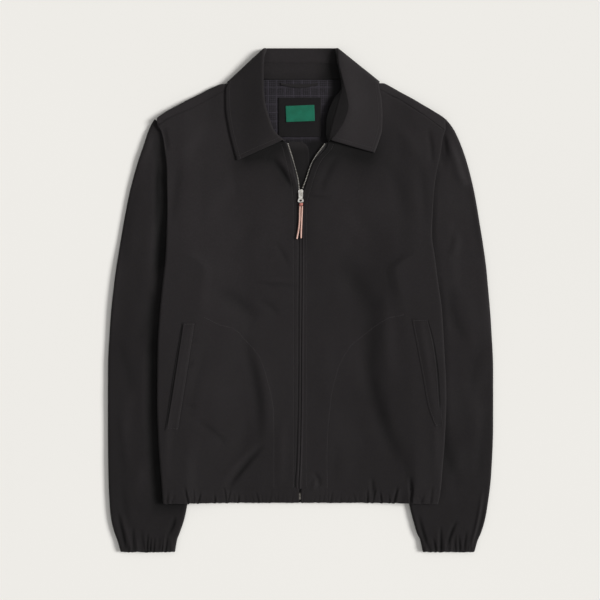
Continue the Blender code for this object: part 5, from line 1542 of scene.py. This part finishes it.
def collar_pieces():
    sections = collar_sections()
    stand = grid_of([section[0] for section in sections])
    leaf = grid_of([section[1] for section in sections])
    tips, round_edge = lengths(leaf, 1), lengths(leaf[:, -1:], 0)
    border = np.minimum(tips[:, -1:] - tips, np.minimum(round_edge, round_edge[-1] - round_edge))
    groove = -0.30 * bell(border - LEAF_STITCHES, 0.9)
    groove = groove + 0.12 * np.sin(round_edge / 1.5) * bell(border - LEAF_STITCHES, 4.0)
    leaf[:, 0] += unit(leaf[:, 0] - leaf[:, 1]) * 0.9
    stand[:, -1] += unit(stand[:, -1] - stand[:, -2]) * 0.8
    leaf[:, 0, 2] += 0.1
    x, y = leaf[..., 0], leaf[..., 1]
    column = np.arange(leaf.shape[1])[None, :] + 0.0 * x
    inner = (1 - smooth_array(column, 8.0, 21.0)) * smooth_array(x[:, 8:9], 20.0, 55.0)
    inner *= 0.55 + 0.45 * smooth_array(y, 265.0, 300.0)
    back_part = 1 - smooth_array(np.abs(x[:, 8:9]), 40.0, 52.0)
    share = np.linspace(0.0, 1.0, leaf.shape[1])[None, :]
    # Painted light on the leaf's right, painted shade on its left and in the strip inside its
    # roll.
    tone = 0.25 * smooth_array(x, 40.0, 90.0) - 0.45 * smooth_array(-x, 40.0, 70.0) - 1.2 * inner
    # Painted shade on the stand: all over, more low down, most on its right.
    low_band_shade = 0.45 * smooth_array(-stand[..., 1], -372.0, -354.0)
    stand_painted_shade = -0.25 - low_band_shade - 1.2 * smooth_array(stand[..., 0], 20.0, 50.0)
    made = shell("collar_leaf", leaf, COLLAR / 2, 1.0, "twill_collar_lit", "twill", ["collar_fall"],
                 shift=0.25 * ripple(x, y, 41, 45.0) * smooth_array(share, 0.45, 0.6),
                 outer=groove + bell(border - 3.0, 3.0) * 0.15,
                 wear=0.25 * bell(border, 1.5) * (1 - back_part), tone=tone, held="folded",
                 rests_on=["front_left"])
    shell("collar_band", stand, COLLAR / 2, 1.0, "twill_collar_lit", "twill_inside", ["collar_stand"],
          tone=stand_painted_shade, held="folded", rests_on=["back"])
    return made


# ---------------------------------------------------------------- inside the neck
LINING_LIFT = SHELL / 2 + SEAM + THIN / 2
PATCH_LIFT = LINING_LIFT + THIN + SEAM
LABEL_THICK = 0.8


def lay_on_back(name, x, y, lift, thickness, look, slot, node, **relief):
    """Cloth over the back: arrays of x and y, and how far its middle lies over the back's."""
    z = np.vectorize(lambda at: back_mid("left", 0.0, at))(y) + lift
    return shell(name, np.stack([x, y, z], axis=-1), thickness / 2, 1.0, look, slot, [node],
                 rim=0.3, rests_on=["back"], **relief)


def zip_shade(x, y):
    """Where painted shade goes: 1 close under the open zip's tapes, 0 away from them."""
    places = spread((168.0, 254.0), (12,))
    lines = [edge_line(side, ZIP_LINE, side, places) for side in SIDES]
    return np.exp(-np.minimum(*(near_line(x, y, line)[0] for line in lines)) / 4.5)


def inside_pieces():
    """Lining, patch, label, hanger loop and zip guard; the loop is given back."""
    x, y = np.meshgrid(spread((-72.0, 72.0), (72,)), spread((136.0, 354.7), (110,)))
    waves = 0.35 * ripple(x, y, 51, 40.0) + creases(x, y, [
        (-40, 340, -30, 250, 3, -0.5, 6), (38, 330, 30, 262, -3, -0.5, 6),
        (-60, 330, 50, 338, 3, 0.4, 5)])
    # Painted shade on the lining: darker to its right and in its lower part.
    dark = np.maximum(smooth_array(x - 30.0 - 0.25 * (y - 273.0), -7.0, 8.0),
                      (1 - smooth_array(y, 252.0, 266.0))
                      * (0.8 + 0.4 * smooth_array(x, 6.0, 22.0)))
    lay_on_back("lining_cloth", x, y, LINING_LIFT, THIN, "lining", "lining", "lining_back",
                shift=np.clip(waves, -0.4, 0.15), tone=-dark)

    x, y = np.meshgrid(spread((-34.5, 33.5), (44,)), spread((263.5, 326.0), (40,)))
    around = [(-32.5, 265.5), (31.5, 265.5), (31.5, 324.0), (-32.5, 324.0), (-32.5, 265.5)]
    lay_on_back("patch_cloth", x, y, PATCH_LIFT, THIN, "patch", "patch", "label_patch",
                outer=sewn(x, y, [around], 0.25, 0.7, 0.1), shift=0.12 * ripple(x, y, 52, 30.0))

    u, v = np.meshgrid(spread((-22.8, 22.8), (44,)), spread((-12.6, 12.6), (26,)))
    tilt = math.radians(2.2)
    x = 0.3 + u * math.cos(tilt) - v * math.sin(tilt)
    y = 300.7 + u * math.sin(tilt) + v * math.cos(tilt)
    lift = PATCH_LIFT + THIN / 2 + SEAM * 1.3 + LABEL_THICK / 2
    lay_on_back("blank_label", x, y, lift, LABEL_THICK, "label_green", "label_green",
                "label_blank", outer=0.08 * ripple(x, y, 53, 18.0))

    x, v = np.meshgrid(spread((-31.0, 29.0), (60,)), spread((-3.0, 3.0), (6,)))
    y = (348.2 + v * (0.75 + 0.2 * np.cos((x + 1.0) / 9.0))
         - 3.5 * (1 - ((x + 1.0) / 30.0) ** 2))
    lift = LINING_LIFT + THIN / 2 + SEAM + WELT / 2
    band = lay_on_back("hanger_band", x, y, lift, WELT, "twill_inside", "twill_inside",
                       "hanger_loop", tone=-0.25,
                       outer=0.3 * np.sin(np.linspace(0.0, math.pi, 7))[:, None])
    # narrower than a sheet may be; it is sewn on the lining
    SHEETS.pop("hanger_band")       # a narrow band, sewn on the lining, left out of the sheets

    rows = []
    for y in spread((118.0, 225.0, 250.0, 255.5), (40, 16, 6)):
        left, right = (read(GUARD_OUTLINE, side, y) for side in SIDES)
        rows.append([(x, y, BACK_FLOOR + PATCH_LIFT) for x in spread((-left, right), (24,))])
    grid = grid_of(rows)
    x, y = grid[..., 0], grid[..., 1]
    line = [(-14.5, 130.0), (-16.0, 245.0), (2.0, 251.0), (9.0, 244.0), (10.0, 130.0)]
    # Painted shade on the guard: dark all over, darker under the open tapes and low down, lighter
    # at its top.
    shade = np.maximum(zip_shade(x, y), 1 - smooth_array(y, 190.0, 206.0))
    shell("guard_cloth", grid, THIN / 2, 1.0, "twill_inside", "twill_inside", ["zip_guard"],
          outer=sewn(x, y, [line], 0.2, 0.7, 0.08), rim=0.3, rests_on=["back"],
          tone=-1.13 + 0.85 * smooth_array(y, 238.0, 253.0) - 0.5 * shade)
    return band


# ---------------------------------------------------------------- zip
TOOTH_PITCH = 2.54
LOWEST_TOOTH, LAST_CLOSED, FIRST_OPEN, TOP_TOOTH = -307.0, 164.0, 180.5, 253.0


def tape_height(side, x, y):
    return front_mid(side, x, y) - SHELL / 2 - SEAM * 1.4 - THIN / 2


def tape_piece(side):
    rows = []
    for y in spread((-319.0, 150.0, 254.0), (90, 50)):
        across = [read(ZIP_LINE, side, y) + TAPE_WIDTH * k / 6 for k in range(7)]
        rows.append([(SIGN[side] * x, y, tape_height(side, x, y)) for x in across])
    return shell("tape_cloth_" + side, grid_of(rows), THIN / 2, SIGN[side], "tape", "tape",
                 ["zip_tape_" + side], rim=0.2)


def blocks(name, places, look):
    """One mesh of small bevelled blocks: each a centre, two half axes in plan, a half height."""
    verts, faces = [], []
    for centre, along, across, high in places:
        base = len(verts)
        for level, size in ((-1.0, 1.0), (0.45, 1.0), (1.0, 0.72)):
            for a, b in ((-1, -1), (1, -1), (1, 1), (-1, 1)):
                verts.append(centre + along * (a * size) + across * (b * size)
                             + Vector((0, 0, high * level)))
        faces.append(tuple(base + k for k in (3, 2, 1, 0)))
        for level in (0, 4):
            for k in range(4):
                n = (k + 1) % 4
                faces.append(tuple(base + level + j for j in (k, n, n + 4, k + 4)))
        faces.append(tuple(base + 8 + k for k in range(4)))
    return solid(name, verts, faces, look, smooth=False)


def teeth(side):
    """Metal teeth along one tape, half a pitch from the other side's: closed ones darkened as
    painted shade, and open ones.
    """
    y = LOWEST_TOOTH + (0.0 if side == "left" else TOOTH_PITCH / 2)
    closed, opened = [], []
    while y < TOP_TOOTH:
        x = read(ZIP_LINE, side, y)
        slope = (read(ZIP_LINE, side, y + 0.5) - read(ZIP_LINE, side, y - 0.5))
        way = Vector((SIGN[side] * slope, 1.0, 0.0)).normalized()
        across = Vector((way.y, -way.x, 0.0)) * SIGN[side]
        meshed = y < LAST_CLOSED
        place = Vector((SIGN[side] * x, y, tape_height(side, x + 2.0, y) - 0.5 * meshed))
        centre = place + across * (1.2 if meshed else -0.3)
        if meshed:
            closed.append((centre, way * 0.62, across * 1.5, 1.15))
        elif y > FIRST_OPEN:
            turned = math.exp(-((y - {"left": 213.0, "right": 222.0}[side]) / 15.0) ** 2)
            opened.append((centre, way * 0.72, across * (0.95 - 0.5 * turned), 1.25))
        y += TOOTH_PITCH * (1.0 if meshed else way.y)
    return [blocks("zip_teeth_" + side, opened, "teeth"),
            blocks("zip_teeth_closed_" + side, closed, "teeth_painted_shade")]

# ---------------------------------------------------------------- sewing
STITCH, STITCH_GAP = 2.5, 1.0
THREAD = 0.26           # a stitch's radius
STITCH_LIFT = 0.12      # its middle over the cloth


def stitch(verts, faces, start, end, radius):
    """One stitch: a short thread, thick in the middle and sunk at both ends."""
    way = (end - start).normalized()
    side_way = way.cross(Vector((0, 0, 1))).normalized()
    up = side_way.cross(way)
    base = len(verts)
    verts.append(start - up * radius)
    for t in (0.22, 0.78):
        middle = start.lerp(end, t)
        verts += [middle + side_way * radius, middle + up * radius, middle - side_way * radius,
                  middle - up * radius]
    verts.append(end - up * radius)
    for k in range(4):
        n = (k + 1) % 4
        faces.append((base, base + 1 + n, base + 1 + k))
        faces.append((base + 1 + k, base + 1 + n, base + 5 + n, base + 5 + k))
        faces.append((base + 9, base + 5 + k, base + 5 + n))


def ground_of(objects):
    """A search tree over the given pieces, to find the cloth's top at a place."""
    verts, faces = [], []
    for item in objects:
        base = len(verts)
        verts += [v.co.copy() for v in item.data.vertices]
        faces += [tuple(base + k for k in p.vertices) for p in item.data.polygons]
    return BVHTree.FromPolygons(verts, faces)

def sew(name, tree, lines):
    """Rows of stitches along lines, laid on the cloth below them."""
    verts, faces = [], []
    for line in lines:
        path = [Vector((x, y)) for x, y in line]
        steps = [(b - a).length for a, b in zip(path, path[1:])]
        count = max(1, int(sum(steps) / (STITCH + STITCH_GAP)))
        pitch = sum(steps) / count

        def at(place):
            k, left = 0, place
            while k < len(steps) - 1 and left > steps[k]:
                left -= steps[k]
                k += 1
            point = path[k].lerp(path[k + 1], min(1.0, left / steps[k]))
            above = Vector((point.x * MM, point.y * MM, 0.06))
            hit, normal, _, _ = tree.ray_cast(above, Vector((0, 0, -1)))
            return None if hit is None else hit / MM + normal * STITCH_LIFT

        for k in range(count):
            start, end = at(k * pitch), at(k * pitch + STITCH)
            if start is not None and end is not None and (end - start).length < STITCH * 1.6:
                stitch(verts, faces, start, end, THREAD)
    return solid(name, verts, faces, "thread")


def front_stitches(side):
    """Lines of stitching on a front: by the zip, round the pocket bag, on the welt, two tacks."""
    shape = POCKETS[side]
    tacks = [mirror_line(side, [(read(shape, "inner", y) + 2.0, y),
                                (read(shape, "outer", y) - 2.0, y)])
             for y in (shape["y"][0] + 3.0, shape["y"][-1] - 3.0)]
    return [beside_zip(side, ZIP_STITCHES[side]), BAG_LINES[side], welt_stitches(side), *tacks]


def collar_stitches():
    """Lines of stitching on the leaf: along its edge, at its two front ends, behind the neck."""
    sections = collar_sections()
    rim = []
    for _, leaf in sections:
        tip = leaf[-1]
        spot = tip + (leaf[-2] - tip).normalized() * LEAF_STITCHES
        if tip.z > 8.0:
            rim.append((spot.x, spot.y))
    ends = []
    for (_, leaf), (_, neighbour) in ((sections[0], sections[1]), (sections[-1], sections[-2])):
        path = []
        for a, b in zip(leaf[LEAF_FACE:], neighbour[LEAF_FACE:]):
            step = b - a
            step.z = 0
            spot = a + step.normalized() * LEAF_STITCHES
            path.append((spot.x, spot.y))
        ends.append(path[:-1])
    behind = [[(-23.0, 381.0), (-3.0, 381.0)], [(19.0, 381.0), (39.0, 381.0)]]
    return [[p for p in rim if p[0] < 0], [p for p in rim if p[0] > 0], *ends, *behind]


# ---------------------------------------------------------------- floor and knot
FLOOR_REACH = 25.0      # metres
FLOOR_DROP = 0.0003     # metres, so that it never touches the part
KNOT = (1.6, 154.4, 12.0)       # its middle


def floor():
    mesh = bpy.data.meshes.new("floor")
    corners = [(a * FLOOR_REACH, b * FLOOR_REACH, 0)
               for a, b in ((-1, -1), (1, -1), (1, 1), (-1, 1))]
    mesh.from_pydata(corners, [], [(0, 1, 2, 3)])
    made = bpy.data.objects.new("floor", mesh)
    made.location.z = -FLOOR_DROP
    SCENE.collection.objects.link(made)
    mesh.materials.append(paper("pale_floor", (238, 237, 232)))


def knot():
    """The leather knot: turns of thong wound round the two strands, over a wrinkled core."""
    x, y, z = KNOT
    points = []
    for k in range(61):
        a = 2 * math.pi * 2.5 * k / 60
        points.append(Vector((x + 2.35 * math.cos(a), 156.0 - 3.4 * k / 60,
                              z + 1.35 * math.sin(a))))
    core = tube("knot_turns", points, 0.85, 3)
    core.data.materials.append(LOOKS["leather_knot"])
    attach(core, PULL)
    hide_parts("pull_knot")
    verts, faces = [], []
    for j in range(9):
        t = math.pi * (j + 0.5) / 9
        for k in range(16):
            a = 2 * math.pi * k / 16
            wrinkle = 1 + 0.05 * math.sin(5 * a + 3 * t)
            verts.append(np.array((x + 2.6 * math.sin(t) ** 0.6 * math.cos(a) * wrinkle,
                                   y + 2.5 * math.cos(t),
                                   z + 1.7 * math.sin(t) ** 0.6 * math.sin(a) * wrinkle)))
    for j in range(8):
        for k in range(16):
            n = (k + 1) % 16
            faces.append((j * 16 + k, j * 16 + n, (j + 1) * 16 + n, (j + 1) * 16 + k))
    faces += [tuple(range(16))[::-1], tuple(8 * 16 + k for k in range(16))]
    solid("knot_core", verts, faces, "leather_knot", PULL)


def main():
    floor()
    tops = [front_piece(side) for side in SIDES]
    back_piece()
    tops += [yoke_piece(side) for side in SIDES]
    tops += [hem_front_piece(side) for side in SIDES]
    hem_back_piece()
    tops += [welt_piece(side) for side in SIDES]
    tops += [sleeve_piece(side) for side in SIDES]
    tops += [cuff_piece(side) for side in SIDES]
    collar = collar_pieces()
    carried = {"lining_cloth": [inside_pieces()]}
    for side in SIDES:
        tape_piece(side)
        carried["tape_cloth_" + side] = teeth(side)
    for thong in THONGS:
        thong.data.materials.append(LOOKS["leather"])
    knot()
    for name, look in (("slider", "metal"), ("pull_tab", "metal"), ("zip_box", "metal_painted_shade")):
        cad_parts[name].data.materials.clear()
        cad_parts[name].data.materials.append(LOOKS[look])
    ground = ground_of(tops)
    for side in SIDES:
        carried["front_panel_" + side] = [sew("stitches_front_" + side, ground,
                                              front_stitches(side))]
    carried["collar_leaf"] = [sew("stitches_collar", ground_of([collar]), collar_stitches())]


main()
